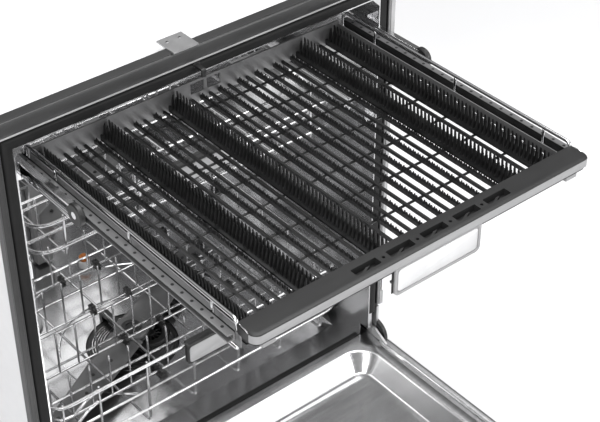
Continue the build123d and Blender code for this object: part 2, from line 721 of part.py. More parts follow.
with BuildPart() as tray_wire_frame:
    side_wires = [(side * TRAY_WIRE_X, z) for side in (-1, 1) for z in (TRAY_BASE + 6, TRAY_TOP - 2.3)]
    wires_along_y(side_wires, TRAY_RAIL_BACK + 1, TRAY_REAR - 4, 2.3)
    posts = [(side * TRAY_WIRE_X, FRONT + place) for side in (-1, 1) for place in (-318, -172, -26)]
    wires_up(posts, TRAY_BASE + 6, TRAY_TOP - 2.3, 1.7)
    # Cross rods under the toothed blades
    rod_places = [(rod_y, COMB_BASE - 1.9) for rod_y in spaced(COMB_FRONT + 22, COMB_BACK - 22, 8)]
    wires_along_x(rod_places, SKIRT_X - 0.4, 1.8)
    # Slide bars outside the side wires
    side_strips(RAIL_INNER_X, (TRAY_RAIL_BACK + 0.2, TRAY_REAR), (SLIDE_BOTTOM + 3, SLIDE_TOP - 3))
tray_wire_frame.part.label = "tray_wire_frame"
export_step(tray_wire_frame.part, "parts/tray_wire_frame.step")


def comb_blades(places, root, tip):
    """Add one toothed blade at each X place."""
    for place in places:
        outline = sawtooth_outline(COMB_FRONT, COMB_BACK, COMB_BASE, root, tip, COMB_PITCH)
        with BuildSketch(Plane.YZ.offset(place - COMB_THICKNESS / 2)) as blade:
            with BuildLine():
                Polyline(*outline, close=True)
            make_face()
        extrude(blade.sketch, amount=COMB_THICKNESS)


with BuildPart() as tray_combs:
    comb_blades(LOW_COMBS, COMB_BASE + 5, COMB_BASE + 9)
    comb_blades(TALL_COMBS, COMB_BASE + 8, COMB_BASE + 27)
    for place in PLAIN_BARS:
        bar_x = (place - 1.5, place + 1.5)
        centred_box(bar_x, (COMB_FRONT, COMB_BACK), (COMB_BASE, COMB_BASE + 4))
tray_combs.part.label = "tray_combs"
export_step(tray_combs.part, "parts/tray_combs.step")

# ---------------------------------------------------------------- upper rack
UPPER_SLIDE_Z = (584.0, 608.0)
UPPER_FIXED_X = (TUB_HALF - 8.0, TUB_HALF - 0.3)
UPPER_MID_X = (TUB_HALF - 16.0, TUB_HALF - 8.6)
UPPER_CARRIAGE_X = (TUB_HALF - 22.0, TUB_HALF - 16.6)

with BuildPart() as fixed_rails:
    side_strips(RAIL_FIXED_X, (FRONT + 14, FRONT + 470), (SLIDE_BOTTOM, SLIDE_TOP))
    side_strips(UPPER_FIXED_X, (FRONT + 14, FRONT + 470), UPPER_SLIDE_Z)
fixed_rails.part.label = "fixed_rails"
export_step(fixed_rails.part, "parts/fixed_rails.step")

with BuildPart() as upper_middle_rails:
    side_strips(UPPER_MID_X, (FRONT + 50, FRONT + 440), (UPPER_SLIDE_Z[0] + 2, UPPER_SLIDE_Z[1] - 2))
upper_middle_rails.part.label = "upper_middle_rails"
export_step(upper_middle_rails.part, "parts/upper_middle_rails.step")

with BuildPart() as upper_carriages:
    side_strips(UPPER_CARRIAGE_X, (FRONT + 80, FRONT + 430), (UPPER_SLIDE_Z[0] + 3, UPPER_SLIDE_Z[1] - 3))
upper_carriages.part.label = "upper_carriages"
export_step(upper_carriages.part, "parts/upper_carriages.step")


def wire_basket(half_x, front, back, floor, rim, cross_x, cross_y, lower_rim):
    """Add a basket of U-shaped wires inside two rim loops."""
    bend = 12.0
    inset = RIM_RADIUS + WIRE_RADIUS + WELD_GAP
    rim_loop(half_x, front, back, rim - RIM_RADIUS, RIM_RADIUS, 32)
    rim_loop(half_x, front, back, lower_rim, RIM_RADIUS, 32)
    for place in cross_x:
        route = [(place, front + inset, rim), (place, front + inset, floor)]
        route += [(place, back - inset, floor), (place, back - inset, rim)]
        bent_wire(route, WIRE_RADIUS, bend)
    high_floor = floor + 2 * WIRE_RADIUS + WELD_GAP
    for place in cross_y:
        route = [(-half_x + inset, place, rim), (-half_x + inset, place, high_floor)]
        route += [(half_x - inset, place, high_floor), (half_x - inset, place, rim)]
        bent_wire(route, WIRE_RADIUS, bend)


UPPER_CROSS_X = spaced(-196, 196, 8)
UPPER_CROSS_Y = spaced(UPPER_FRONT + 52, UPPER_BACK - 52, 6)
with BuildPart() as upper_basket:
    wire_basket(UPPER_HALF, UPPER_FRONT, UPPER_BACK, UPPER_FLOOR + WIRE_RADIUS, UPPER_RIM,
                UPPER_CROSS_X, UPPER_CROSS_Y, UPPER_FLOOR + 22)
    # Height-adjuster plates that ride on the carriages
    plate_x = (UPPER_HALF + RIM_RADIUS + 0.1, UPPER_CARRIAGE_X[0] - 0.4)
    side_strips(plate_x, (ARM_Y - 70, ARM_Y + 70), (UPPER_FLOOR + 16, UPPER_RIM - 2))
upper_basket.part.label = "upper_basket"
export_step(upper_basket.part, "parts/upper_basket.step")


def rack_handle(half, front, top, drop):
    """Add a grip that clasps the front rim wire."""
    with BuildSketch(Plane.XZ.offset(-front)) as face:
        with Locations((0, top - drop / 2)):
            RectangleRounded(2 * half, drop, 5)
    extrude(face.sketch, amount=9)
    centred_box((-half + 2, half - 2), (front - 9, front + 6), (top - 4, top))


with BuildPart() as upper_handle:
    rack_handle(55, UPPER_FRONT - 3.2, UPPER_RIM + 6, 30)
upper_handle.part.label = "upper_handle"
export_step(upper_handle.part, "parts/upper_handle.step")


def tine_row_along_y(place, front, back, height, high, count):
    """Add a row of upright tines on a rod along Y."""
    wires_along_y([(place, height)], front, back, WIRE_RADIUS)
    places = [(place, tine_y) for tine_y in spaced(front + 14, back - 14, count)]
    wires_up(places, height, high, TINE_RADIUS)


def lower_tine_row(place):
    """Add a row of upright plate tines on a rod along X."""
    wires_along_x([(place, LOWER_TINE_Z)], LOWER_TINE_HALF, WIRE_RADIUS)
    tine_xs = spaced(-LOWER_TINE_HALF + 14, LOWER_TINE_HALF - 14, 14)
    wires_up([(tine_x, place) for tine_x in tine_xs], LOWER_TINE_Z, LOWER_TINE_TOP, TINE_RADIUS)


UPPER_TINE_Z = UPPER_FLOOR + 4 * WIRE_RADIUS + 2.4
UPPER_TINE_X = (-70.0, 84.0)
for tine_x, row_name in zip(UPPER_TINE_X, ("upper_left_tines", "upper_right_tines")):
    with BuildPart() as tine_row:
        tine_row_along_y(tine_x, UPPER_FRONT + 24, UPPER_BACK - 24, UPPER_TINE_Z, UPPER_TINE_Z + 52, 11)
    tine_row.part.label = row_name
    export_step(tine_row.part, "parts/" + row_name + ".step")

SHELF_Z = UPPER_RIM + 6.0
SHELF_WIDTH = 62.0
SHELF_PIVOT_X = UPPER_HALF - 6.5
for side, shelf_name in ((-1, "left_cup_shelf"), (1, "right_cup_shelf")):
    with BuildPart() as cup_shelf:
        shelf_front = UPPER_FRONT + 70
        shelf_back = UPPER_BACK - 70
        wires_along_y([(side * SHELF_PIVOT_X, SHELF_Z)], shelf_front, shelf_back, 2.0)
        wires_along_y([(side * (SHELF_PIVOT_X - SHELF_WIDTH), SHELF_Z)], shelf_front, shelf_back, 2.0)
        for rib_y in spaced(shelf_front + 6, shelf_back - 6, 12):
            rib_x = sorted((side * SHELF_PIVOT_X, side * (SHELF_PIVOT_X - SHELF_WIDTH)))
            centred_box(rib_x, (rib_y - 1.4, rib_y + 1.4), (SHELF_Z - 1.4, SHELF_Z + 1.4))
    cup_shelf.part.label = shelf_name
    export_step(cup_shelf.part, "parts/" + shelf_name + ".step")

# ---------------------------------------------------------------- lower rack
LOWER_TINE_Z = LOWER_FLOOR + 4 * WIRE_RADIUS + 2.4
LOWER_TINE_TOP = LOWER_TINE_Z + 76.0
LOWER_TINE_HALF = 226.0
LOWER_FOLDING_TINES = (FRONT + 118.0, FRONT + 294.0)
LOWER_FIXED_TINES = (FRONT + 206.0, FRONT + 382.0)
WHEEL_RADIUS = 17.5
WHEEL_Z = SILL_TOP + WHEEL_RADIUS + 0.6
WHEEL_X = (LOWER_HALF + 6.0, LOWER_HALF + 15.0)
WHEEL_YS = (FRONT + 96.0, FRONT + 410.0)
LOWER_CROSS_X = spaced(-175, 215, 6) + [-232]
LOWER_CROSS_Y = spaced(LOWER_FRONT + 56, LOWER_BACK - 56, 6)
with BuildPart() as lower_basket:
    wire_basket(LOWER_HALF, LOWER_FRONT, LOWER_BACK, LOWER_FLOOR + WIRE_RADIUS, LOWER_RIM,
                LOWER_CROSS_X, LOWER_CROSS_Y, LOWER_FLOOR + 34)
    for tine_y in LOWER_FIXED_TINES:
        lower_tine_row(tine_y)
    # Brackets with the pins that the wheels turn on
    for side in (-1, 1):
        for wheel_y in WHEEL_YS:
            inner = side * (LOWER_HALF + 2.7)
            outer = side * (WHEEL_X[0] - 0.3)
            bracket_z = (WHEEL_Z - 10, LOWER_FLOOR + 46)
            centred_box(sorted((inner, outer)), (wheel_y - 12, wheel_y + 12), bracket_z)
            pin_x = sorted((inner, side * WHEEL_X[1]))
            with BuildSketch(Plane.YZ.offset(pin_x[0])):
                with Locations((wheel_y, WHEEL_Z)):
                    Circle(3.0)
            extrude(amount=pin_x[1] - pin_x[0])
lower_basket.part.label = "lower_basket"
export_step(lower_basket.part, "parts/lower_basket.step")

with BuildPart() as lower_handle:
    rack_handle(39, LOWER_FRONT - 3.2, LOWER_RIM + 4, 34)
lower_handle.part.label = "lower_handle"
export_step(lower_handle.part, "parts/lower_handle.step")

for tine_y, row_name in zip(LOWER_FOLDING_TINES, ("lower_front_tines", "lower_rear_tines")):
    with BuildPart() as tine_row:
        lower_tine_row(tine_y)
    tine_row.part.label = row_name
    export_step(tine_row.part, "parts/" + row_name + ".step")

for wheel_y, wheels_name in zip(WHEEL_YS, ("lower_front_wheels", "lower_rear_wheels")):
    with BuildPart() as wheels:
        for side in (-1, 1):
            x_span = sorted((side * WHEEL_X[0], side * WHEEL_X[1]))
            with BuildSketch(Plane.YZ.offset(x_span[0])):
                with Locations((wheel_y, WHEEL_Z)):
                    Circle(WHEEL_RADIUS)
                    Circle(3.05, mode=Mode.SUBTRACT)
            extrude(amount=x_span[1] - x_span[0])
    wheels.part.label = wheels_name
    export_step(wheels.part, "parts/" + wheels_name + ".step")

# ---------------------------------------------------------------- door, open flat
FASCIA_REAR = DOOR_FRONT + FASCIA_DEPTH
DISPENSER_X = 70.0
DISPENSER_Y = FRONT - 345.0
DISPENSER_TOP = DOOR_TOP - PAN_DEPTH + 3.0
PAN_Y = (PAN_REAR + PAN_FRONT) / 2
PAN_LENGTH = PAN_REAR - PAN_FRONT
with BuildPart() as door_liner:
    liner_x = (-DOOR_HALF + 1.4, DOOR_HALF - 1.4)
    centred_box(liner_x, (FASCIA_REAR + 0.3, LINER_REAR), (DOOR_TOP - LINER_SHEET, DOOR_TOP))
    # Pressed pan: a tapered block with a smaller tapered block taken out of it
    with BuildSketch(Plane.XY.offset(DOOR_TOP)):
        with Locations((0, PAN_Y)):
            RectangleRounded(2 * PAN_HALF + 2 * LINER_SHEET, PAN_LENGTH + 2 * LINER_SHEET, 41.5)
    extrude(amount=-PAN_DEPTH - LINER_SHEET, taper=PAN_SLOPE)
    with BuildSketch(Plane.XY.offset(DOOR_TOP)):
        with Locations((0, PAN_Y)):
            RectangleRounded(2 * PAN_HALF, PAN_LENGTH, 40)
    extrude(amount=-PAN_DEPTH, taper=PAN_SLOPE, mode=Mode.SUBTRACT)
    # Opening that takes the dispenser
    with Locations((DISPENSER_X, DISPENSER_Y, DOOR_TOP - PAN_DEPTH)):
        Box(190.6, 112.6, 10, mode=Mode.SUBTRACT)
    # Turned-down flange along the rear edge
    centred_box(liner_x, (LINER_REAR - LINER_SHEET, LINER_REAR), (LINER_BOTTOM, DOOR_TOP))
door_liner.part.label = "door_liner"
export_step(door_liner.part, "parts/door_liner.step")

with BuildPart() as door_panel:
    centred_box((-DOOR_HALF, DOOR_HALF), (DOOR_FRONT + 1, DOOR_REAR), (DOOR_BOTTOM, DOOR_BOTTOM + SHEET))
    for side in (-1, 1):
        edge_x = sorted((side * DOOR_HALF, side * (DOOR_HALF - SHEET)))
        centred_box(edge_x, (DOOR_FRONT + 1, LINER_REAR), (DOOR_BOTTOM, DOOR_TOP))
        centred_box(edge_x, (LINER_REAR - 1, DOOR_REAR), (DOOR_BOTTOM, DOOR_TUCK_TOP - 2))
    fixing_holes = [(x, FRONT + y) for x in (-240, 240) for y in (-60, -260, -460)]
    with Locations(*[(x, y, DOOR_BOTTOM) for x, y in fixing_holes]):
        Cylinder(2.1, 6, mode=Mode.SUBTRACT)
door_panel.part.label = "door_panel"
export_step(door_panel.part, "parts/door_panel.step")

HOOK_Y = PIVOT_Y - (TUB_CEILING + 8 - PIVOT_Z)
BUTTON_XS = (-40.0, 0.0, 40.0)
BUTTON_Z = (DOOR_TOP + DOOR_BOTTOM) / 2 + 2
with BuildPart() as control_fascia:
    centred_box(
        (-DOOR_HALF + 1.4, DOOR_HALF - 1.4),
        (DOOR_FRONT + 1, FASCIA_REAR),
        (DOOR_BOTTOM + SHEET + 0.1, DOOR_TOP),
    )
    # Hollow inside, open towards the door's carrier sheet
    centred_box(
        (-DOOR_HALF + 5, DOOR_HALF - 5),
        (DOOR_FRONT + 4.5, FASCIA_REAR - 3),
        (DOOR_BOTTOM, DOOR_TOP - 3),
        Mode.SUBTRACT,
    )
    # Hole that the strike enters
    with Locations((-21, HOOK_Y, DOOR_TOP)):
        Box(24, 26, 8, mode=Mode.SUBTRACT)
    for button_x in BUTTON_XS:
        with Locations((button_x, DOOR_FRONT + 1, BUTTON_Z)):
            Box(22.6, 9, 8.6, mode=Mode.SUBTRACT)
control_fascia.part.label = "control_fascia"
export_step(control_fascia.part, "parts/control_fascia.step")

BUTTON_NAMES = ("power_button", "programme_button", "start_button")
for button_x, button_name in zip(BUTTON_XS, BUTTON_NAMES):
    with BuildPart() as button:
        with Locations((button_x, DOOR_FRONT + 1.5, BUTTON_Z)):
            Box(22, 3, 8)
        fillet(button.edges().filter_by(Axis.Y), 2)
    button.part.label = button_name
    export_step(button.part, "parts/" + button_name + ".step")

# Hook inside the fascia that catches the strike
with BuildPart() as door_latch:
    with BuildSketch(Plane.YZ.offset(-15.5)):
        with Locations((HOOK_Y - 6, DOOR_TOP - 18)):
            Circle(4.5)
        with Locations((HOOK_Y - 6, DOOR_TOP - 11)):
            Rectangle(4, 14)
    extrude(amount=4)
door_latch.part.label = "door_latch"
export_step(door_latch.part, "parts/door_latch.step")

with BuildPart() as dispenser:
    centred_box(
        (DISPENSER_X - 95, DISPENSER_X + 95),
        (DISPENSER_Y - 56, DISPENSER_Y + 56),
        (DISPENSER_TOP - 13.0, DISPENSER_TOP),
    )
    # Powder cup under the lid, and the rinse-aid filler hole
    with BuildSketch(Plane.XY.offset(DISPENSER_TOP)):
        with Locations((DISPENSER_X - 52, DISPENSER_Y)):
            RectangleRounded(58, 72, 8)
    extrude(amount=-9, mode=Mode.SUBTRACT)
    with Locations((DISPENSER_X + 58, DISPENSER_Y + 12, DISPENSER_TOP)):
        Cylinder(18.3, 10, mode=Mode.SUBTRACT)
dispenser.part.label = "dispenser"
export_step(dispenser.part, "parts/dispenser.step")

with BuildPart() as dispenser_lid:
    with BuildSketch(Plane.XY.offset(DISPENSER_TOP + 0.3)):
        with Locations((DISPENSER_X - 52, DISPENSER_Y)):
            RectangleRounded(66, 84, 8)
    extrude(amount=3)
    with BuildSketch(Plane.XY.offset(DISPENSER_TOP + 3.3)):
        with Locations((DISPENSER_X - 26, DISPENSER_Y)):
            SlotOverall(60, 6, rotation=90)
    extrude(amount=2)
dispenser_lid.part.label = "dispenser_lid"
export_step(dispenser_lid.part, "parts/dispenser_lid.step")

with BuildPart() as rinse_aid_cap:
    with BuildSketch(Plane.XY.offset(DISPENSER_TOP - 4.7)):
        with Locations((DISPENSER_X + 58, DISPENSER_Y + 12)):
            Circle(17.9)
    extrude(amount=6)
    with BuildSketch(Plane.XY.offset(DISPENSER_TOP + 1.3)):
        with Locations((DISPENSER_X + 58, DISPENSER_Y + 12)):
            SlotOverall(30, 6)
    extrude(amount=3)
rinse_aid_cap.part.label = "rinse_aid_cap"
export_step(rinse_aid_cap.part, "parts/rinse_aid_cap.step")

# ---------------------------------------------------------------- hinges
HINGE_X = (HALF - 9.0, HALF - 5.0)
with BuildPart() as hinge_arms:
    for side in (-1, 1):
        x_span = sorted((side * (HINGE_X[0] - 5), side * (HINGE_X[0] - 1.5)))
        with BuildSketch(Plane.YZ.offset(x_span[0])):
            with BuildLine():
                Polyline(
                    (FRONT - 26, DOOR_TOP + 0.3),
                    (PIVOT_Y - 8, PIVOT_Z + 6),
                    (PIVOT_Y + 8, PIVOT_Z + 8),
                    (PIVOT_Y + 10, PIVOT_Z - 4),
                    (PIVOT_Y + 10, DOOR_TOP + 0.3),
                    close=True,
                )
            make_face()
            with Locations((PIVOT_Y, PIVOT_Z)):
                Circle(PIVOT_RADIUS + 0.05, mode=Mode.SUBTRACT)
        extrude(amount=3.5)
hinge_arms.part.label = "hinge_arms"
export_step(hinge_arms.part, "parts/hinge_arms.step")

with BuildPart() as hinge_brackets:
    for side in (-1, 1):
        x_span = sorted((side * HINGE_X[0], side * HINGE_X[1]))
        with BuildSketch(Plane.YZ.offset(x_span[0])):
            with BuildLine():
                Polyline(
                    (PIVOT_Y - 5, PIVOT_Z - 5),
                    (PIVOT_Y - 5, PIVOT_Z + 46),
                    (FRONT + 96, PIVOT_Z + 46),
                    (FRONT + 140, PIVOT_Z),
                    (FRONT + 140, BASE_TOP + 0.1),
                    (FRONT + 118, BASE_TOP + 0.1),
                    (FRONT + 104, PIVOT_Z - 8),
                    close=True,
                )
            make_face()
        extrude(amount=HINGE_X[1] - HINGE_X[0])
        pin_x = sorted((side * (HINGE_X[0] - 6), side * HINGE_X[1]))
        with BuildSketch(Plane.YZ.offset(pin_x[0])):
            with Locations((PIVOT_Y, PIVOT_Z)):
                Circle(PIVOT_RADIUS)
        extrude(amount=pin_x[1] - pin_x[0])
        # Door balance spring
        with BuildLine() as coil:
            spring_start = (side * (HALF - 13), FRONT + 150, 118)
            Helix(pitch=6, height=150, radius=6, center=spring_start, direction=(0, 1, 0))
        with BuildSketch(Plane(origin=coil.line @ 0, z_dir=coil.line % 0)):
            Circle(1.2)
        sweep(path=coil.line)
hinge_brackets.part.label = "hinge_brackets"
export_step(hinge_brackets.part, "parts/hinge_brackets.step")

# Black plastic discs that close the gap beside each hinge
with BuildPart() as hinge_covers:
    for side in (-1, 1):
        x_span = sorted((side * (HALF - 1.7), side * (HALF - 0.2)))
        with BuildSketch(Plane.YZ.offset(x_span[0])):
            with Locations((FRONT + 42, 166)):
                Circle(47)
            with Locations((FRONT + 42, 116)):
                Rectangle(100, 60, mode=Mode.SUBTRACT)
        extrude(amount=1.5)
hinge_covers.part.label = "hinge_covers"
export_step(hinge_covers.part, "parts/hinge_covers.step")
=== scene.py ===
import bmesh
import bpy
import math
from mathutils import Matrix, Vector


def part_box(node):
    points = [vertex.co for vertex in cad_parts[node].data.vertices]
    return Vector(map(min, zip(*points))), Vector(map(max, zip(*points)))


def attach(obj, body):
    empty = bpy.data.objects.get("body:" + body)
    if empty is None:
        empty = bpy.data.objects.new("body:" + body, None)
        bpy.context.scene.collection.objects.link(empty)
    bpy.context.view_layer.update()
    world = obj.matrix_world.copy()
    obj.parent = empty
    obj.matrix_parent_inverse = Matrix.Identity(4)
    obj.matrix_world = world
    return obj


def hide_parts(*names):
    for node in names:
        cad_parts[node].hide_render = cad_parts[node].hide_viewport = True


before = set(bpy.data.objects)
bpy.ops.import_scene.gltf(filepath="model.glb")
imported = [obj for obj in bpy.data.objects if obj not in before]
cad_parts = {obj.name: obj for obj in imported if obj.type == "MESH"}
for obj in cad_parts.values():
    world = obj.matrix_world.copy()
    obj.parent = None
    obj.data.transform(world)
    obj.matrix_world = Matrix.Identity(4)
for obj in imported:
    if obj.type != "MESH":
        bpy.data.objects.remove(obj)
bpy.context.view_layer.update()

# Sizes below are in millimetres: x and z as in the frame, y counted from the cabinet's front plane
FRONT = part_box("front_frame")[0].y * 1000.0


# ---------------------------------------------------------------- mesh helpers
class Shape:
    """Collects vertices and faces in millimetres and turns them into one object."""

    def __init__(self):
        self.points = []
        self.faces = []

    def add(self, points, faces):
        base = len(self.points)
        self.points += [tuple(point) for point in points]
        self.faces += [tuple(base + index for index in face) for face in faces]

    def box(self, x, y, z):
        corners = [(a, b, c) for c in z for b in y for a in x]
        self.add(corners, [(0, 2, 3, 1), (4, 5, 7, 6), (0, 1, 5, 4), (2, 6, 7, 3), (0, 4, 6, 2), (1, 3, 7, 5)])

    def loft(self, rings, cap_start=True, cap_end=True, closed=True):
        """Joins rings that all have the same number of points."""
        count = len(rings[0])
        points = [point for ring in rings for point in ring]
        faces = []
        for row in range(len(rings) - 1):
            for step in range(count if closed else count - 1):
                after = (step + 1) % count
                faces.append((row * count + step, row * count + after,
                              (row + 1) * count + after, (row + 1) * count + step))
        if cap_start:
            faces.append(tuple(reversed(range(count))))
        if cap_end:
            faces.append(tuple(range((len(rings) - 1) * count, len(rings) * count)))
        self.add(points, faces)

    def tube(self, route, radius, sides=8, closed=False, dome=True):
        """Sweeps a round wire along a route."""
        route = [Vector(point) for point in route]
        count = len(route)
        tangents = []
        for index in range(count):
            before = route[index - 1] if closed or index else route[index]
            after = route[(index + 1) % count] if closed or index < count - 1 else route[index]
            tangents.append((after - before).normalized())
        side = tangents[0].orthogonal().normalized()
        rings = []
        for index, tangent in enumerate(tangents):
            side = (side - tangent * side.dot(tangent)).normalized()
            other = tangent.cross(side)
            ring = [route[index] + radius * (math.cos(turn) * side + math.sin(turn) * other)
                    for turn in (2 * math.pi * step / sides for step in range(sides))]
            rings.append(ring)
        if closed:
            # the frame may have turned along the loop, so the last ring joins the nearest points of the first
            first = rings[0]
            shift = min(range(sides), key=lambda k: (rings[-1][0] - first[k]).length)
            rings.append([first[(step + shift) % sides] for step in range(sides)])
            self.loft(rings, False, False)
            return
        if dome:
            for end, tangent in ((0, -tangents[0]), (-1, tangents[-1])):
                centre = route[end]
                ring = rings[end]
                small = [centre + (point - centre) * 0.6 for point in ring]
                tight = [centre + (point - centre) * 0.95 - tangent * radius * 0.5 for point in ring]
                if end == 0:
                    rings = [small, tight] + rings[1:]
                else:
                    rings = rings[:-1] + [tight, small]
        self.loft(rings)

    def disc(self, centre, axis, radius, length, sides=32, hole=0.0, lip=0.0):
        """Adds a round disc or ring along an axis, with softened edges."""
        axis = Vector(axis).normalized()
        side = axis.orthogonal().normalized()
        other = axis.cross(side)
        centre = Vector(centre)

        def ring(reach, along):
            return [centre + axis * along + reach * (math.cos(turn) * side + math.sin(turn) * other)
                    for turn in (2 * math.pi * step / sides for step in range(sides))]

        outside = [ring(radius - lip, 0), ring(radius, lip), ring(radius, length - lip), ring(radius - lip, length)]
        if hole:
            rings = [ring(hole, 0)] + outside + [ring(hole, length), ring(hole, 0)]
            self.loft(rings, False, False)
        else:
            self.loft(outside)

    def prism(self, outline, axis, low, high):
        """Extrudes a 2-D outline along x, y or z."""
        place = {"x": lambda a, b, t: (t, a, b), "y": lambda a, b, t: (a, t, b), "z": lambda a, b, t: (a, b, t)}[axis]
        self.loft([[place(a, b, low) for a, b in outline], [place(a, b, high) for a, b in outline]])

    def build(self, name, material, body, smooth=40, bevel=0.0, replaces=()):
        """Makes the object, gives it its material and lets it ride on a body."""
        mesh = bpy.data.meshes.new(name)
        mesh.from_pydata([(x / 1000, (y + FRONT) / 1000, z / 1000) for x, y, z in self.points], [], self.faces)
        mesh.validate()
        piece = bpy.data.objects.new(name, mesh)
        scene.collection.objects.link(piece)
        mesh.materials.append(material)
        if bevel:
            edge = piece.modifiers.new("edges", "BEVEL")
            edge.width = bevel / 1000
            edge.segments = 2
            edge.limit_method = "ANGLE"
            edge.angle_limit = math.radians(38)
        face_outwards(mesh)
        mesh.shade_smooth()
        mesh.set_sharp_from_angle(angle=math.radians(smooth))
        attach(piece, body)
        if replaces:
            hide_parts(*replaces)
        return piece


def cut_out(piece, shape):
    """Cuts a shape's solids out of a finished piece."""
    mesh = bpy.data.meshes.new("cutter")
    mesh.from_pydata([(x / 1000, (y + FRONT) / 1000, z / 1000) for x, y, z in shape.points], [], shape.faces)
    face_outwards(mesh)
    cutter = bpy.data.objects.new("cutter", mesh)
    scene.collection.objects.link(cutter)
    difference = piece.modifiers.new("slots", "BOOLEAN")
    difference.operation = "DIFFERENCE"
    difference.solver = "EXACT"
    difference.object = cutter
    depsgraph = bpy.context.evaluated_depsgraph_get()
    finished = bpy.data.meshes.new_from_object(piece.evaluated_get(depsgraph))
    piece.modifiers.clear()
    piece.data = finished
    finished.set_sharp_from_angle(angle=math.radians(30))
    bpy.data.objects.remove(cutter)


def face_outwards(mesh):
    """Makes all faces point outwards."""
    work = bmesh.new()
    work.from_mesh(mesh)
    bmesh.ops.recalc_face_normals(work, faces=work.faces)
    work.to_mesh(mesh)
    work.free()


def rounded(points, radius, steps=5, closed=False):
    """Returns the route with its corners replaced by arcs."""
    points = [Vector(point) for point in points]
    count = len(points)
    route = []
    for index, point in enumerate(points):
        if not closed and index in (0, count - 1):
            route.append(point)
            continue
        before = points[index - 1] - point
        after = points[(index + 1) % count] - point
        angle = before.angle(after)
        reach = min(radius / math.tan(angle / 2), before.length * 0.49, after.length * 0.49)
        start = point + before.normalized() * reach
        end = point + after.normalized() * reach
        for step in range(steps + 1):
            t = step / steps
            route.append(start.lerp(point, t).lerp(point.lerp(end, t), t))
    return route


def arc_points(a, b, radius, start, stop, step):
    """Returns points (a, b) of an arc in a plane; the angles are whole degrees."""
    return [(a + radius * math.cos(math.radians(turn)), b + radius * math.sin(math.radians(turn)))
            for turn in range(start, stop, step)]


def spaced(first, last, count):
    """Returns evenly spaced values, both ends included."""
    return [first + (last - first) * step / (count - 1) for step in range(count)]


def rounded_rectangle(half_x, y_low, y_high, radius, z, arc=8, side=6):
    """Returns a level ring of points round a rectangle with round corners."""
    ring = []
    centres = [(half_x - radius, y_low + radius, -90), (half_x - radius, y_high - radius, 0),
               (-half_x + radius, y_high - radius, 90), (-half_x + radius, y_low + radius, 180)]
    for number, (cx, cy, start) in enumerate(centres):
        corner = [(cx + radius * math.cos(math.radians(start + 90 * step / arc)),
                   cy + radius * math.sin(math.radians(start + 90 * step / arc))) for step in range(arc + 1)]
        ring += corner
        nx, ny, nstart = centres[(number + 1) % 4]
        first = corner[-1]
        last = (nx + radius * math.cos(math.radians(nstart)), ny + radius * math.sin(math.radians(nstart)))
        ring += [(first[0] + (last[0] - first[0]) * step / side, first[1] + (last[1] - first[1]) * step / side)
                 for step in range(1, side)]
    return [(x, y, z) for x, y in ring]


# ---------------------------------------------------------------- materials
def surface(name, slot, dark, light, rough, metal=0.0, stretch=(1, 1, 1), pattern=60.0, bump=0.08,
            grain=900.0, coat=0.0, specular=0.5):
    """Makes a material with two noises: a broad one for colour and gloss, a fine one for the grain."""
    material = bpy.data.materials.new(name)
    material.use_nodes = True
    material["slot"] = slot
    nodes = material.node_tree.nodes
    links = material.node_tree.links
    shader = nodes["Principled BSDF"]
    shader.inputs["Metallic"].default_value = metal
    shader.inputs["Specular IOR Level"].default_value = specular
    shader.inputs["Coat Weight"].default_value = coat
    shader.inputs["Coat Roughness"].default_value = 0.12
    where = nodes.new("ShaderNodeTexCoord")
    mapping = nodes.new("ShaderNodeMapping")
    mapping.inputs["Scale"].default_value = stretch
    links.new(where.outputs["Object"], mapping.inputs["Vector"])
    broad = nodes.new("ShaderNodeTexNoise")
    broad.inputs["Scale"].default_value = pattern
    broad.inputs["Detail"].default_value = 4.0
    links.new(mapping.outputs["Vector"], broad.inputs["Vector"])
    colours = nodes.new("ShaderNodeValToRGB")
    colours.color_ramp.elements[0].position = 0.3
    colours.color_ramp.elements[0].color = (*dark, 1)
    colours.color_ramp.elements[1].position = 0.7
    colours.color_ramp.elements[1].color = (*light, 1)
    links.new(broad.outputs["Fac"], colours.inputs["Fac"])
    links.new(colours.outputs["Color"], shader.inputs["Base Color"])
    gloss = nodes.new("ShaderNodeMapRange")
    gloss.inputs["To Min"].default_value = rough[0]
    gloss.inputs["To Max"].default_value = rough[1]
    links.new(broad.outputs["Fac"], gloss.inputs["Value"])
    links.new(gloss.outputs["Result"], shader.inputs["Roughness"])
    fine = nodes.new("ShaderNodeTexNoise")
    fine.inputs["Scale"].default_value = grain
    fine.inputs["Detail"].default_value = 3.0
    links.new(mapping.outputs["Vector"], fine.inputs["Vector"])
    relief = nodes.new("ShaderNodeBump")
    relief.inputs["Strength"].default_value = bump
    relief.inputs["Distance"].default_value = 0.0006
    links.new(fine.outputs["Fac"], relief.inputs["Height"])
    links.new(relief.outputs["Normal"], shader.inputs["Normal"])
    return material


def grey(value):
    """Returns a neutral colour with a trace of blue."""
    return (value, value, value * 1.01)


TUB_STEEL = surface("tub_steel", "stainless", grey(0.5), grey(0.55), (0.19, 0.25),
                    metal=1.0, stretch=(1, 1, 0.15), pattern=9, bump=0.001, grain=500)
LINER_STEEL = surface("liner_steel", "stainless", grey(0.6), grey(0.68), (0.2, 0.27),
                      metal=1.0, stretch=(0.05, 1, 1), pattern=160, bump=0.003)
CHROME = surface("bright_steel", "chrome_steel", grey(0.6), grey(0.72), (0.08, 0.17),
                 metal=1.0, stretch=(1, 0.2, 1), bump=0.006, grain=700)
WIRE = surface("rack_wire", "coated_wire", grey(0.42), grey(0.54), (0.14, 0.26),
               metal=0.9, pattern=90, bump=0.01, grain=1200)
BLACK = surface("black_plastic", "black_plastic", grey(0.008), grey(0.016), (0.36, 0.5),
                pattern=70, bump=0.12, grain=1500)
COMB = surface("comb_plastic", "black_plastic", grey(0.006), grey(0.014), (0.34, 0.46),
               stretch=(1, 0.3, 1), pattern=90, bump=0.1, grain=1500, specular=0.35)
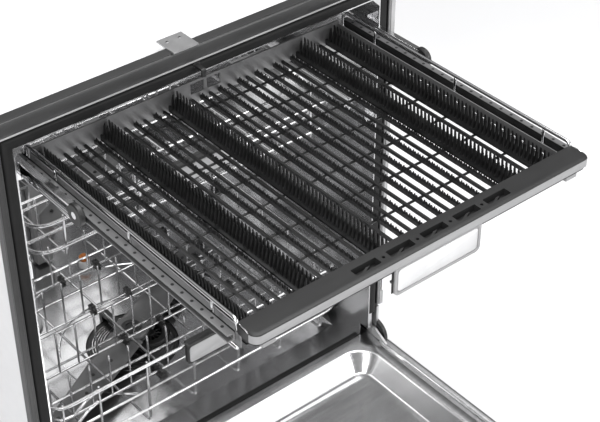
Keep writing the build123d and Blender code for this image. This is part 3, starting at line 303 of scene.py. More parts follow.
BAND = surface("band_plastic", "dark_grey_plastic", grey(0.026), grey(0.034), (0.34, 0.44),
               stretch=(0.3, 1, 1), pattern=40, bump=0.15, grain=1800)
RAIL_TOP = surface("rail_top", "dark_grey_plastic", grey(0.016), grey(0.023), (0.36, 0.48),
                   stretch=(0.3, 1, 1), pattern=50, bump=0.14, grain=1700, specular=0.3)
MID = surface("mid_grey_plastic", "mid_grey_plastic", grey(0.16), grey(0.22), (0.36, 0.5),
              pattern=45, bump=0.12, grain=1600)
BLADE = surface("spray_arm_plastic", "mid_grey_plastic", grey(0.075), grey(0.11), (0.3, 0.42),
                pattern=35, grain=1400)
SKIRT = surface("skirt_metal", "mid_grey_plastic", grey(0.14), grey(0.2), (0.3, 0.44),
                metal=0.4, stretch=(1, 0.2, 1), pattern=50, bump=0.06, grain=1200)
LIGHT = surface("light_grey_plastic", "light_grey_plastic", grey(0.33), grey(0.42), (0.3, 0.42),
                metal=0.1, stretch=(0.4, 1, 1), pattern=45, bump=0.07, grain=1500)
SATIN = surface("satin_grey", "light_grey_plastic", grey(0.26), grey(0.31), (0.3, 0.4),
                metal=0.15, stretch=(0.3, 1, 1), pattern=40, bump=0.05, grain=1500)
PLATE = surface("pale_plate", "light_grey_plastic", grey(0.58), grey(0.66), (0.18, 0.28),
                stretch=(1, 1, 0.3), pattern=30, bump=0.03, coat=0.3)
RUBBER = surface("seal_rubber", "black_rubber", grey(0.004), grey(0.009), (0.5, 0.66),
                 stretch=(0.4, 1, 0.4), pattern=55, bump=0.12, grain=1300, specular=0.25)
ZINC = surface("zinc_sheet", "galvanised", grey(0.44), grey(0.5), (0.36, 0.44),
               metal=0.85, bump=0.03, grain=420)
WHITE = surface("white_sheet", "white_paint", grey(0.7), grey(0.725), (0.36, 0.44),
                bump=0.1, grain=1300)
PALE = surface("white_plastic", "white_plastic", grey(0.6), grey(0.7), (0.4, 0.52),
               pattern=30, grain=1300)
ORANGE = surface("orange_plastic", "mid_grey_plastic", (0.42, 0.12, 0.02), (0.55, 0.19, 0.04), (0.3, 0.4),
                 pattern=120, grain=1400)
FLOOR = surface("floor", "floor", grey(0.8), grey(0.82), (0.8, 0.9),
                pattern=3, bump=0.0, grain=50)

scene = bpy.context.scene


def dress(material, *names):
    """Gives a carried-over CAD node its material."""
    for name in names:
        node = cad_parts[name]
        node.data.materials.clear()
        node.data.materials.append(material)


# ---------------------------------------------------------------- camera, lights, floor
camera_data = bpy.data.cameras.new("camera")
camera_data.lens = 88.98
camera_data.sensor_width = 36.0
camera = bpy.data.objects.new("camera", camera_data)
scene.collection.objects.link(camera)
camera.location = (-0.889, -1.2145, 1.709)
camera.rotation_euler = (math.radians(53.09), 0.0, math.radians(-39.59))
scene.camera = camera

floor_mesh = bpy.data.meshes.new("studio_floor")
FLOOR_REACH, FLOOR_LEVEL = 60, -0.0005
floor_corners = [(x * FLOOR_REACH, y * FLOOR_REACH, FLOOR_LEVEL) for x, y in ((-1, -1), (1, -1), (1, 1), (-1, 1))]
floor_mesh.from_pydata(floor_corners, [], [(0, 1, 2, 3)])
studio_floor = bpy.data.objects.new("studio_floor", floor_mesh)
floor_mesh.materials.append(FLOOR)
scene.collection.objects.link(studio_floor)


def softbox(name, place, target, size, power):
    """Adds an area light that faces a target and stays out of the picture."""
    data = bpy.data.lights.new(name, "AREA")
    data.shape = "RECTANGLE"
    data.size, data.size_y = size
    data.energy = power
    lamp = bpy.data.objects.new(name, data)
    lamp.location = place
    lamp.rotation_euler = (Vector(target) - Vector(place)).to_track_quat("-Z", "Y").to_euler()
    lamp.visible_camera = False
    scene.collection.objects.link(lamp)


softbox("overhead", (0.2, -0.4, 3.4), (0.0, 0.0, 0.5), (3.2, 2.2), 120)
softbox("left_key", (-2.6, -1.6, 2.2), (0.0, 0.0, 0.5), (1.2, 1.8), 55)
softbox("right_fill", (1.75, -2.5, 1.75), (0.0, -0.1, 0.4), (1.5, 1.2), 42)
softbox("front_low", (0.3, -3.4, 0.9), (0.0, 0.2, 0.4), (2.4, 0.9), 14)
softbox("front_left_low", (-2.2, -2.4, 0.9), (0.1, 0.3, 0.35), (1.4, 1.0), 8)
softbox("inside_top", (0.0, 0.27, 0.705), (0.0, 0.27, 0.2), (0.44, 0.34), 0.5)
softbox("inside_low", (-0.1, 0.22, 0.50), (0.0, 0.34, 0.2), (0.26, 0.14), 0.4)
softbox("inside_back", (-0.08, 0.515, 0.34), (-0.1, 0.1, 0.20), (0.40, 0.16), 0.34)

# A studio that is bright overhead and darker towards the horizon, so that steel shows contrast
world = bpy.data.worlds.new("studio")
world.use_nodes = True
nodes, links = world.node_tree.nodes, world.node_tree.links
direction = nodes.new("ShaderNodeTexCoord")
parts = nodes.new("ShaderNodeSeparateXYZ")
links.new(direction.outputs["Generated"], parts.inputs["Vector"])
sky = nodes.new("ShaderNodeValToRGB")
sky.color_ramp.elements[0].position = 0.0
sky.color_ramp.elements[0].color = (0.10, 0.10, 0.10, 1)
sky.color_ramp.elements[1].position = 0.95
sky.color_ramp.elements[1].color = (0.85, 0.85, 0.86, 1)
middle_tone = sky.color_ramp.elements.new(0.6)
middle_tone.color = (0.26, 0.26, 0.26, 1)
links.new(parts.outputs["Z"], sky.inputs["Fac"])
links.new(sky.outputs["Color"], nodes["Background"].inputs["Color"])
nodes["Background"].inputs["Strength"].default_value = 0.9
scene.world = world
scene.view_settings.view_transform = "Standard"

# ---------------------------------------------------------------- cabinet
# Top band: a dark face with a lighter top strip and a bright lower lip
band = Shape()
band.prism([(16, 798), (16, 819.3), (3.2, 819.3), (1.0, 818.2), (0, 816), (0, 803), (1.0, 799.5), (3, 798)],
           "x", -299, 299)
for side in (-1, 1):
    band.prism([(side * 289.6, 3.2), (side * 289.6, 16), (side * 299, 16), (side * 299, 3.2)], "z", 249, 798.2)
band.build("top_band", BAND, "cabinet", bevel=0.6, replaces=("front_frame",))
strip = Shape()
strip.box((-298.8, 298.8), (1.8, 15.8), (818.9, 820.0))
strip.build("band_top_strip", BAND, "cabinet", bevel=0.2)
lip = Shape()
lip.prism([(0.6, 797.0), (0.6, 799.2), (14, 799.2), (14, 796.6), (2, 796.6)], "x", -288, 288)
lip.build("band_lip", LIGHT, "cabinet", bevel=0.3)
# The two jambs are the same part: the left face is black as painted shade and the right face light grey as painted
# highlight.
for side, material, name in ((-1, BLACK, "left_jamb_face"), (1, LIGHT, "right_jamb_face")):
    jamb = Shape()
    inner, middle, outer = 289.4, 292.4, 298.9
    for low, high in ((249.2, 273.6), (334.4, 797.6)):
        jamb.box(sorted((side * middle, side * outer)), (0.2, 3.4), (low, high))
    jamb.box(sorted((side * middle, side * 293.8)), (0.2, 3.4), (273.6, 334.4))
    jamb.build(name, material, "cabinet", bevel=0.5)
    groove = Shape()
    groove.box(sorted((side * inner, side * (middle - 0.3))), (1.4, 3.4), (249.4, 797.4))
    groove.box(sorted((side * 294.0, side * 298.6)), (6.2, 7.0), (274.4, 333.6))
    # The groove is mid grey on the right as painted highlight and black on the left as painted shade.
    groove.build(name.replace("face", "groove"), MID if side > 0 else BLACK, "cabinet", bevel=0.3)

# Lip seal: a soft bulb with a thin lip, round the two sides and the top
seal = Shape()
section = [(-5.8, 1.8), (-5.6, 1.3), (-3.0, 1.0), (1.0, 0.9), (4.6, 1.6),
           (6.4, 3.4), (8.9, 6.2), (8.9, 14.8), (0.0, 14.8), (0.0, 1.9)]
route = [(-279.7, 239.2), (-279.7, 786.7), (279.7, 786.7), (279.7, 239.2)]
outward = [(-1, 0), (-1, 1), (1, 1), (1, 0)]
rings = []
for (x, z), (ox, oz) in zip(route, outward):
    rings.append([(x + ox * reach, y, z + oz * reach) for reach, y in section])
seal.loft(rings)
seal.build("door_seal", RUBBER, "cabinet", bevel=0.5, replaces=("tub_seal",))
sill = Shape()
sill.prism([(18.5, 178.2), (18.5, 188.6), (19.4, 189.9), (21.2, 190.2), (25.6, 190.24), (25.6, 190.06), (19.8, 189.7),
            (19.8, 178.2)], "x", -268, 268)
sill.build("sill_seal", RUBBER, "cabinet")
dress(ZINC, "top_fixing_bracket")
strike = Shape()
strike.box((-26, -16), (1.1, 8.8), (787.4, 795.2))
strike.prism([(-12.9, 781.2), (-10.1, 781.2), (-10.1, 788.6), (7.8, 788.6),
              (7.8, 792.4), (-11.6, 792.4), (-12.9, 791)], "x", -24, -18)
strike.build("door_strike", BLACK, "cabinet", bevel=0.5, replaces=("latch_strike",))

# Side and back sheets with pressed beads
def beaded_sheet(shape, width, height, beads, place):
    """Adds a sheet as a grid: beads are (u0, u1, v0, v1) areas pushed in by 3 mm with soft edges."""
    us = sorted({0.0, width} | {u + off for b in beads for u in b[:2] for off in (-4, -2, 0, 2, 4)})
    vs = sorted({0.0, height} | {v + off for b in beads for v in b[2:] for off in (-4, -2, 0, 2, 4)})
    us = [u for u in us if 0 <= u <= width]
    vs = [v for v in vs if 0 <= v <= height]

    def depth(u, v):
        deepest = 0.0
        for u0, u1, v0, v1 in beads:
            inside = min(u - u0, u1 - u, v - v0, v1 - v)
            deepest = max(deepest, min(1.0, max(0.0, (inside + 4) / 8)))
        return 3.0 * (3 * deepest ** 2 - 2 * deepest ** 3)

    columns, rows = len(us), len(vs)
    points = [place(u, v, depth(u, v) + under) for under in (0, 0.8) for v in vs for u in us]
    back = columns * rows
    faces = []
    for row in range(rows - 1):
        for column in range(columns - 1):
            a = row * columns + column
            faces.append((a, a + 1, a + 1 + columns, a + columns))
            faces.append((back + a, back + a + columns, back + a + 1 + columns, back + a + 1))
    borders = ((0, 1, columns), (back - columns, 1, columns), (0, columns, rows), (columns - 1, columns, rows))
    for a, step, count in borders:
        for k in range(count - 1):
            near, far = a + k * step, a + (k + 1) * step
            faces.append((near, far, far + back, near + back))
    shape.add(points, faces)


panels = Shape()
side_beads = [(90, 500, 150, 176), (90, 500, 330, 356), (90, 500, 510, 536)]
for side in (-1, 1):
    beaded_sheet(panels, 537, 557, side_beads, lambda u, v, d, s=side: (s * (298.7 - d), 16.4 + u, 249 + v))
    beaded_sheet(panels, 447, 188.6, [(40, 400, 60, 130)],
                 lambda u, v, d, s=side: (s * (298.7 - d), 106.2 + u, 60.2 + v))
beaded_sheet(panels, 597, 560, [(60, 537, 90, 116), (60, 537, 280, 306), (60, 537, 470, 496)],
             lambda u, v, d: (-298.5 + u, 554.9 - d, 246 + v))
beaded_sheet(panels, 597, 90.5, [], lambda u, v, d: (-298.5 + u, 554.9 - d, 155.3 + v))
beaded_sheet(panels, 597, 22.5, [], lambda u, v, d: (-298.5 + u, 554.9 - d, 62.2 + v))
for low, high in ((-298.5, -230.2), (-149.8, 149.8), (230.2, 298.5)):
    beaded_sheet(panels, high - low, 70.4, [], lambda u, v, d, a=low: (a + u, 554.9 - d, 84.8 + v))
panels.build("outer_sheets", WHITE, "cabinet", replaces=("outer_panels",))
screws = Shape()
for x in spaced(-288, 288, 5):
    for z in (240.5, 800.0):
        screws.disc((x, 554.2, z), (0, 1, 0), 3.4, 0.75, 12, lip=0.3)
screws.build("back_screws", ZINC, "cabinet")
top = Shape()
beaded_sheet(top, 594, 536, [(60, 534, 60, 476), (110, 484, 110, 426)],
             lambda u, v, d: (-297 + u, 16.6 + v, 805.9 - d * 0.6))
top.build("top_sheet", WHITE, "cabinet", replaces=("top_cover",))

dress(TUB_STEEL, "tub")

dress(BLACK, "base_tray", "kick_plate", "pumps", "door_latch", "sump",
      "front_left_foot", "front_right_foot", "rear_left_foot", "rear_right_foot")
dress(PALE, "water_softener", "water_inlet_box", "rear_connections")
dress(ZINC, "hinge_brackets", "hinge_arms", "door_panel")
dress(MID, "feed_pipe", "upper_manifold")
dress(CHROME, "fixed_rails", "upper_carriages", "upper_middle_rails")
dress(BLADE, "top_spray_arm")

# Black quarter discs beside the hinges, with a raised rim and ribs
covers = Shape()
for side in (-1, 1):
    covers.prism(arc_points(42, 166, 47, -20, 201, 10), "x", *sorted((side * 297.5, side * 298.7)))
    for reach in (30, 38):
        rib = [(side * 298.3, y, z) for y, z in arc_points(42, 166, reach, -15, 196, 10)]
        covers.tube(rib, 0.6, 6)
covers.build("hinge_discs", BLACK, "cabinet", bevel=0.3, replaces=("hinge_covers",))

cheeks = Shape()
for side in (-1, 1):
    cheeks.prism(arc_points(8, 190, 25, 0, 181, 10), "x", *sorted((side * 290.8, side * 296.4)))
    cheeks.tube([(side * 290.6, y, z) for y, z in arc_points(8, 190, 19, 10, 171, 10)], 0.7, 6)
cheeks.build("door_hinge_cheeks", BLACK, "door", bevel=0.5)

# Filter: black cup with a fine mesh and a cross grip
cup = Shape()
cup.disc((32, 240, 118), (0, 0, 1), 29.7, 56, 40, hole=27.8, lip=0.6)
cup.disc((32, 240, 174), (0, 0, 1), 29.7, 3.0, 40, hole=19, lip=0.8)
for turn in range(0, 180, 30):
    a = math.radians(turn)
    cup.tube([(32 + reach * math.cos(a), 240 + reach * math.sin(a), 173.5) for reach in (-26, 26)], 1.1, 6)
cup.disc((32, 240, 170), (0, 0, 1), 8, 6.8, 24, lip=1)
cup.build("filter_grip", BLACK, "filter_cup", bevel=0.3, replaces=("filter_cup",))
plate = Shape()
for reach in range(22, 64, 4):
    plate.tube([(x, y, 172.3) for x, y in arc_points(0, 240, reach, 0, 360, 10)], 0.5, 5, closed=True)
plate.build("filter_plate_rings", CHROME, "cabinet")
ring = Shape()
for reach, thick in ((196, 1.5), (112, 1.1)):
    ring.tube([(x, y, 172.5) for x, y in arc_points(0, 240, reach, 0, 360, 5)], thick, 6, closed=True)
ring.build("floor_rings", CHROME, "cabinet")
salt = Shape()
salt.disc((-110, 380, 172.4), (0, 0, 1), 29.8, 7.8, 40, lip=1.6)
salt.box((-132, -88), (376.6, 383.4), (180, 186))
for turn in range(0, 360, 15):
    a = math.radians(turn)
    salt.disc((-110 + 28.6 * math.cos(a), 380 + 28.6 * math.sin(a), 173.5), (0, 0, 1), 1.1, 5, 8)
salt.build("salt_lid", LIGHT, "salt_cap", bevel=0.4, replaces=("salt_cap",))
orange = Shape()
orange.disc((46, 446, 186.1), (0, 0, 1), 8, 8, 24, lip=1.5)
orange.disc((46, 446, 194), (0, 0, 1), 4.5, 3, 18, lip=1)
orange.build("orange_cap", ORANGE, "cabinet")
stand = Shape()
stand.disc((46, 446, 172.3), (0, 0, 1), 9.5, 13.7, 24, lip=1.2)
stand.build("orange_cap_stand", PALE, "cabinet")


def spray_blades(name, body, z, length, width, thick, hub, material, replaces, bore=8.3, turn=28.0, hub_top=4.0):
    """Two tapering blades with a crowned top, round nozzles and a hub."""
    shape = Shape()
    c, s = math.cos(math.radians(turn)), math.sin(math.radians(turn))
    half = length / 2 - 1
    for way in (-1, 1):
        rings = []
        for step in range(13):
            t = step / 12
            along = way * (hub * 0.6 + (half - hub * 0.6) * t)
            rounding = 1.0 if t < 0.92 else math.sqrt(max(0.05, 1 - ((t - 0.92) / 0.085) ** 2))
            reach = width / 2 * (1.0 - 0.22 * t) * rounding
            ring = []
            for k in range(12):
                a = 2 * math.pi * k / 12
                across = reach * math.copysign(abs(math.cos(a)) ** 0.7, math.cos(a))
                rise = thick / 2 * math.copysign(abs(math.sin(a)) ** 0.8, math.sin(a)) * (1 - 0.25 * t)
                ring.append((along * c - across * s, 240 + along * s + across * c, z + thick / 2 + rise))
            rings.append(ring if way > 0 else ring[::-1])
        shape.loft(rings)
    shape.disc((0, 240, z), (0, 0, 1), hub, thick + hub_top, 36, hole=bore, lip=1.5)
    piece = shape.build(name, material, body, replaces=replaces)
    holes = Shape()
    for step in (-5, -4, -3, -2, 2, 3, 4, 5):
        along = step * length * 0.085
        off = 5 if step % 2 else -5
        holes.disc((along * c - off * s, 240 + along * s + off * c, z + thick * 0.95), (0, 0, 1), 2.6, 0.9, 12,
                   hole=1.2, lip=0.2)
    holes.build(name + "_nozzles", BLACK, body)
    return piece


spray_blades("lower_blades", "lower_spray_arm", 193, 440, 56, 8, 27, BLADE, ("lower_spray_arm",))
spray_blades("upper_blades", "upper_spray_arm", 534, 390, 46, 7, 22, BLADE, ("upper_spray_arm",), hub_top=3.0)
hub = Shape()
hub.disc((0, 240, 205.1), (0, 0, 1), 16, 2.0, 32, hole=8.4, lip=0.6)
hub.disc((0, 240, 196), (0, 0, 1), 27.3, 4, 40, hole=26, lip=0.4)
hub.build("lower_hub_cap", BLACK, "lower_spray_arm", bevel=0.3)

# ---------------------------------------------------------------- cutlery tray
RAIL_FRONT, RAIL_BACK = -389.0, -359.0
HALF_RAIL = 242.0


def rail_ring(inset, z, back=RAIL_BACK):
    """A level ring round the rail: round at its two front corners, square behind."""
    radius = 10.0 - inset * 0.6
    ring = []
    for cx, first in ((-HALF_RAIL + inset + radius, 180), (HALF_RAIL - inset - radius, 270)):
        for step in range(9):
            turn = math.radians(first + 90 * step / 8)
            ring.append((cx + radius * math.cos(turn), RAIL_FRONT + inset + radius + radius * math.sin(turn), z))
    return ring + [(HALF_RAIL - inset, back, z), (-HALF_RAIL + inset, back, z)]


rail = Shape()
rail.loft([rail_ring(2.4, 737.1), rail_ring(2.4, 740.8), rail_ring(0.5, 741.6), rail_ring(0.2, 750.6),
           rail_ring(0.9, 751.9), rail_ring(2.6, 752.75), rail_ring(5.4, 752.95, RAIL_BACK - 1.2),
           rail_ring(6.2, 752.95, RAIL_BACK - 1.2)])
rail_piece = rail.build("tray_rail_top", RAIL_TOP, "cutlery_tray", smooth=30, replaces=("tray_front_rail",))
face = Shape()
face.loft([rail_ring(inset, z)[:18] for inset, z in ((0.3, 740.9), (0.0, 741.3), (0.0, 750.2), (0.25, 751.0))],
          False, False, closed=False)
face.build("tray_rail_face", SATIN, "cutlery_tray", replaces=("tray_trim",))
slots = Shape()
inserts = Shape()
for x in (-86, -38, 10, 58, 104):
    ring = [(x + a, -375 + b) for a, b in ((-17, -5.5), (16, -5.5), (17, -4.5), (17, 5.5), (-16, 5.5), (-17, 4.5))]
    slots.loft([[(a, b, z) for a, b in ring] for z in (743.5, 754.5)])
    inserts.loft([[(a, b, z) for a, b in ring] for z in (743.6, 744.2)])
    inserts.prism([(x - 11, -378.5), (x - 5, -378.5), (x + 8, -372.0), (x + 2, -372.0)], "z", 744.0, 748.6)
for x in (-62, -14, 34, 81):
    slots.disc((x, -375, 749.5), (0, 0, 1), 2.0, 5.0, 12)
cut_out(rail_piece, slots)
inserts.build("rail_slot_inserts", BLACK, "cutlery_tray")
caps = Shape()
for side in (-1, 1):
    hook = [(239.5, -384, 741), (241.0, -381, 749.5), (240.6, -372, 752.4), (239.8, -362, 752.0)]
    caps.tube(rounded([(side * x, y, z) for x, y, z in hook], 4), 0.9, 8)
caps.build("rail_end_beads", CHROME, "cutlery_tray")

handle = Shape()
HANDLE_LOW, HANDLE_HIGH = 704.6, 740.8


def plate_ring(inset, y, low_radius=7.0, top=HANDLE_HIGH):
    """An upright ring for the handle: round below, square above."""
    left, right, low = 6 - 63 + inset, 6 + 63 - inset, HANDLE_LOW + inset
    radius = max(1.0, low_radius - inset)
    ring = [(left, y, top)]
    for cx, first in ((left + radius, 180), (right - radius, 270)):
        for step in range(7):
            turn = math.radians(first + 90 * step / 6)
            ring.append((cx + radius * math.cos(turn), y, low + radius + radius * math.sin(turn)))
    return ring + [(right, y, top)]


handle.loft([plate_ring(1, -382.2, top=736.6), plate_ring(0, -383.4, top=736.6), plate_ring(0, -386.4, top=736.6)])
handle.build("tray_handle_back", BLACK, "cutlery_tray", replaces=("tray_handle",))
rim = Shape()
rim.loft([plate_ring(0.1, -386.5), plate_ring(0.1, -388.6), plate_ring(0.5, -388.95),
          plate_ring(3.4, -388.95, top=HANDLE_HIGH - 1.2), plate_ring(4.0, -387.7, top=HANDLE_HIGH - 1.8)])
rim.build("tray_handle_rim", SATIN, "cutlery_tray")
inset_plate = Shape()


def pale_ring(inset, y):
    ring = rounded_rectangle(58.2 - inset, HANDLE_LOW + 4.6 + inset, HANDLE_HIGH - 2.8 - inset, 5, 0, 6, 1)
    return [(a + 6, y, b) for a, b, _ in ring]


inset_plate.loft([pale_ring(0, -387.2), pale_ring(0, -388.3), pale_ring(0.5, -388.7)])
inset_plate.build("tray_handle_plate", PLATE, "cutlery_tray")
tabs = Shape()
for x in (-219, 219):
    tabs.box((x - 9, x + 9), (-383, -374), (727.2, 736.8))
tabs.build("tray_rail_tabs", SATIN, "cutlery_tray", bevel=1.2)
black_edge = Shape()
black_edge.tube([(-57.6, -385.2, 737), (-57.6, -385.2, 708)], 0.9, 8)
black_edge.disc((-58.6, -385.2, 725), (-1, 0, 0), 1.8, 1.2, 12)
black_edge.build("tray_handle_edge", BLACK, "cutlery_tray")

dress(SKIRT, "tray_panels")
bright = Shape()
for side in (-1, 1):
    top_wire = [(side * 240, y, z) for y, z in ((-359, 742), (-358.4, 755.7), (37, 755.7), (37, 718.2))]
    bright.tube(rounded(top_wire, 10), 2.3, 10)
    bright.tube([(side * 240, -358.6, 718), (side * 240, 38, 718)], 2.3, 10)
    for y in (-318, -172, -26):
        bright.tube([(side * 240, y, 718), (side * 240, y, 754)], 1.8 if side > 0 else 2.2, 8)
bright.build("tray_side_wires", CHROME, "cutlery_tray", replaces=("tray_wire_frame",))
bars = Shape()
for side in (-1, 1):
    outline = [(243, 731.2), (252.2, 731.2), (252.2, 732.8), (244.8, 732.8),
               (244.8, 739.4), (252.2, 739.4), (252.2, 741.0), (243, 741.0)]
    bars.prism([(side * x, z) for x, z in outline], "y", -358.6, 41.8)
bars.build("tray_slide_bars", SKIRT, "cutlery_tray", bevel=0.4)
liners = Shape()
for side in (-1, 1):
    liners.box(sorted((side * 242.2, side * 242.95)), (-358.4, 41.6), (730.6, 742.2))
    for y in spaced(-344, 26, 23):
        liners.disc((side * 247.5, y, 740.7), (0, 0, 1), 1.9, 0.45, 12)
liners.build("tray_slide_liners", COMB, "cutlery_tray", bevel=0.2)
# The punched holes are thin black ovals laid on the bar, painted shade in place of real openings.
punched = Shape()
for side in (-1, 1):
    for number, y in enumerate(spaced(-348, 30, 27)):
        height = 736.6 if number % 2 else 735.4
        oval = [(y + 3.6 * c, height + 1.7 * s) for c, s in arc_points(0, 0, 1, 0, 360, 30)]
        punched.prism(oval, "x", *sorted((side * 244.7, side * 244.95)))
punched.build("tray_slide_punching", BLACK, "cutlery_tray")
rods = Shape()
for y in spaced(-336.6, 15.8, 8):
    rods.tube([(-232.4, y, 714.1), (232.4, y, 714.1)], 1.75, 8)
rods.build("tray_cross_rods", COMB, "cutlery_tray")

LOW = (-205, -176, -148, -119, -91, -62, 8, 36, 66, 94, 124, 152)
TALL = (-222, -133, -34, 168, 218)
PLAIN = (-190, -162, -105, -77, -48, -6, 22, 51, 80, 109, 138, 184, 201)


def level_square(x, y, half_x, half_y, z):
    """A level ring of four corners round a point."""
    return [(x - half_x, y - half_y, z), (x + half_x, y - half_y, z),
            (x + half_x, y + half_y, z), (x - half_x, y + half_y, z)]


combs = Shape()
for x in LOW:
    combs.box((x - 1.6, x + 1.6), (-358.4, 37.6), (716, 720.6))
    for number, y in enumerate(spaced(-355, 34, 98)):
        lean = 0.5 if number % 2 else -0.5
        combs.loft([level_square(x, y, 1.5, 1.5, 720.4), level_square(x + lean, y, 0.5, 0.4, 724.9)])
for x in TALL:
    combs.box((x - 7.0, x - 4.6), (-358.4, 37.6), (716, 724.0))
    combs.box((x + 4.6, x + 7.0), (-358.4, 37.6), (716, 724.0))
    combs.box((x - 7.0, x + 7.0), (-358.4, 37.6), (716, 718.2))
    for row, offset in ((-5.8, 0.0), (5.8, 3.6)):
        lean = math.copysign(1.6, row)
        for y in spaced(-354 + offset, 30 + offset, 61):
            rings = []
            for t, half_x, half_y in ((0.0, 1.3, 1.9), (0.35, 1.1, 1.3), (0.8, 0.9, 1.1), (1.0, 0.5, 0.6)):
                cx, cz = x + row - lean * t * t, 723.6 + 19.2 * t
                rings.append(level_square(cx, y, half_x, half_y, cz))
            combs.loft(rings)
for x in PLAIN:
    combs.box((x - 1.5, x + 1.5), (-358.4, 37.6), (716, 719.8))
combs.build("tray_comb_rows", COMB, "cutlery_tray", replaces=("tray_combs",))

# Telescopic slides: channel with ball holes, and a round end cap; the ball holes are thin black discs, painted shade
# in place of openings
middle = Shape()
balls = Shape()
ends = Shape()
discs = Shape()
for side in (-1, 1):
    outline = [(253.3, 730.3), (261.2, 730.3), (261.2, 732), (255.4, 732),
               (255.4, 748), (261.2, 748), (261.2, 749.8), (253.3, 749.8)]
    middle.prism([(side * x, z) for x, z in outline], "y", -92, 249.8)
    for y in spaced(-80, 20, 11):
        balls.disc((side * 253.35, y, 746), (-side, 0, 0), 1.9, 0.25, 12)
        balls.disc((side * 253.35, y, 734), (-side, 0, 0), 1.9, 0.25, 12)
    ends.disc((side * 253.7, -96, 740), (side, 0, 0), 13.9, 7.6, 36, lip=1.4)
    discs.disc((side * 261.25, -96, 740), (side, 0, 0), 4.5, 0.14, 28)
    discs.disc((side * 253.72, -96, 740), (-side, 0, 0), 4.5, 0.2, 28)
rods_out = Shape()
for side in (-1, 1):
    for height in (732.4, 747.4):
        rods_out.tube([(side * 258.6, -92, height), (side * 258.6, 249, height)], 2.3, 12)
rods_out.build("tray_slide_beads", CHROME, "tray_middle_rails")
middle.build("tray_slide_channels", CHROME, "tray_middle_rails", bevel=0.3, replaces=("tray_middle_rails",))
# The ball holes: thin black discs on the channel face as painted shade.
balls.build("tray_slide_ball_holes", BLACK, "tray_middle_rails")
ends.build("tray_slide_caps", BLACK, "tray_middle_rails")
discs.build("tray_slide_cap_faces", CHROME, "tray_middle_rails")

# ---------------------------------------------------------------- racks
def basket_wires(shape, half, front, back, floor, rim, low_rim, cross_x, cross_y, dip):
    """Adds the rim loops and U-shaped wires of a rack."""
    for height in (rim - 2.5, low_rim):
        loop = [(-half, front, height), (half, front, height), (half, back, height), (-half, back, height)]
        shape.tube(rounded(loop, 32, 8, True), 2.5, 10, closed=True)
    for x in cross_x:
        route = [(x, front + 4.6, rim), (x, front + 4.6, floor + 2), (x, back - 4.6, floor + 2), (x, back - 4.6, rim)]
        shape.tube(rounded(route, 12), 2.0, 8)
    for y in cross_y:
        reach = half - 4.6
        route = [(-reach, y, rim), (-reach, y, floor + 6.1), (reach, y, floor + 6.1), (reach, y, rim)]
        shape.tube(rounded(route, 12 + dip), 2.0, 8)


upper = Shape()
basket_wires(upper, 240, 45, 462, 560, 625, 582, spaced(-196, 196, 8), spaced(97, 410, 6), 4)
upper.build("upper_rack_wires", WIRE, "upper_rack", replaces=("upper_basket",))
adjusters = Shape()
for side in (-1, 1):
    adjusters.box(sorted((side * 242.7, side * 249.5)), (170, 310), (576.2, 622.8))
adjusters.build("height_adjusters", MID, "upper_rack", bevel=1.2)
grips = Shape()
for side in (-1, 1):
    for y in (196, 284):
        grips.disc((side * 242.8, y, 600), (-side, 0, 0), 7, 1.5, 24, lip=0.5)
    grips.box(sorted((side * 240.8, side * 242.8)), (225, 255), (590, 618))
grips.build("adjuster_clips", BLACK, "upper_rack", bevel=0.4)

lower = Shape()
basket_wires(lower, 250, 42, 470, 212, 328, 246, (-232, -175, -97, -19, 59, 137, 215), spaced(98, 414, 6), 6)
for y in (206, 382):
    lower.tube([(-226, y, 222.4), (226, y, 222.4)], 2.0, 8)
    for x in spaced(-212, 212, 14):
        lower.tube([(x, y, 222.4), (x, y, 285), (x, y + 1.5, 298.2)], 1.7, 8)
for drop in (0, 20):
    wave = [(-247.4, 110, 320 - drop), (-247.4, 78, 306 - drop), (-238, 50, 300 - drop), (-216, 44.6, 303 - drop),
            (-196, 44.6, 318 - drop), (-178, 44.6, 325.5 - drop)]
    lower.tube(rounded(wave, 14), 2.1, 8)
lower.build("lower_rack_wires", WIRE, "lower_rack", replaces=("lower_basket",))
brackets = Shape()
for side in (-1, 1):
    for y in (96, 410):
        brackets.box(sorted((side * 252.8, side * 255.6)), (y - 12, y + 12), (198.4, 257.8))
        brackets.disc((side * 255.5, y, 208.1), (side, 0, 0), 2.95, 9.3, 20, lip=0.5)
brackets.build("wheel_brackets", BLACK, "lower_rack", bevel=0.8)


def folding_row(name, along_x, place, span, height, tip, count, margin):
    """Adds a rod with a row of tines; the rod runs along X or along Y."""
    shape = Shape()
    if along_x:
        shape.tube([(-span, place, height), (span, place, height)], 2.0, 8)
        for x in spaced(-span + margin, span - margin, count):
            shape.tube([(x, place, height), (x, place, tip - 12), (x, place + 1.2, tip)], 1.7, 8)
    else:
        shape.tube([(place, span[0], height), (place, span[1], height)], 2.0, 8)
        for y in spaced(span[0] + margin, span[1] - margin, count):
            shape.tube([(place, y, height), (place, y, tip - 10), (place + 1.0, y, tip)], 1.7, 8)
    shape.build(name + "_row", WIRE, name + "s", replaces=(name + "s",))


folding_row("lower_front_tine", True, 118, 226, 222.4, 298.3, 14, 14)
folding_row("lower_rear_tine", True, 294, 226, 222.4, 298.3, 14, 14)
folding_row("upper_left_tine", False, -70, (69, 438), 570.4, 622.3, 11, 14)
folding_row("upper_right_tine", False, 84, (69, 438), 570.4, 622.3, 11, 14)

# Black toothed clips that hold the tine rods
rod_clips = Shape()
for y in (118, 206, 294, 382):
    for x in (-203, -33, 32, 163):
        rod_clips.disc((x - 3.2, y, 222.4), (1, 0, 0), 7.6, 6.4, 20, hole=2.5, lip=0.6)
        for step in range(8):
            a = math.radians(45 * step + 22.5)
            tooth = (x - 2.6, y + 8.6 * math.cos(a), 222.4 + 8.6 * math.sin(a))
            rod_clips.disc(tooth, (1, 0, 0), 2.1, 5.2, 8, lip=0.4)
rod_clips.build("tine_rod_clips", BLACK, "lower_rack", bevel=0.4)

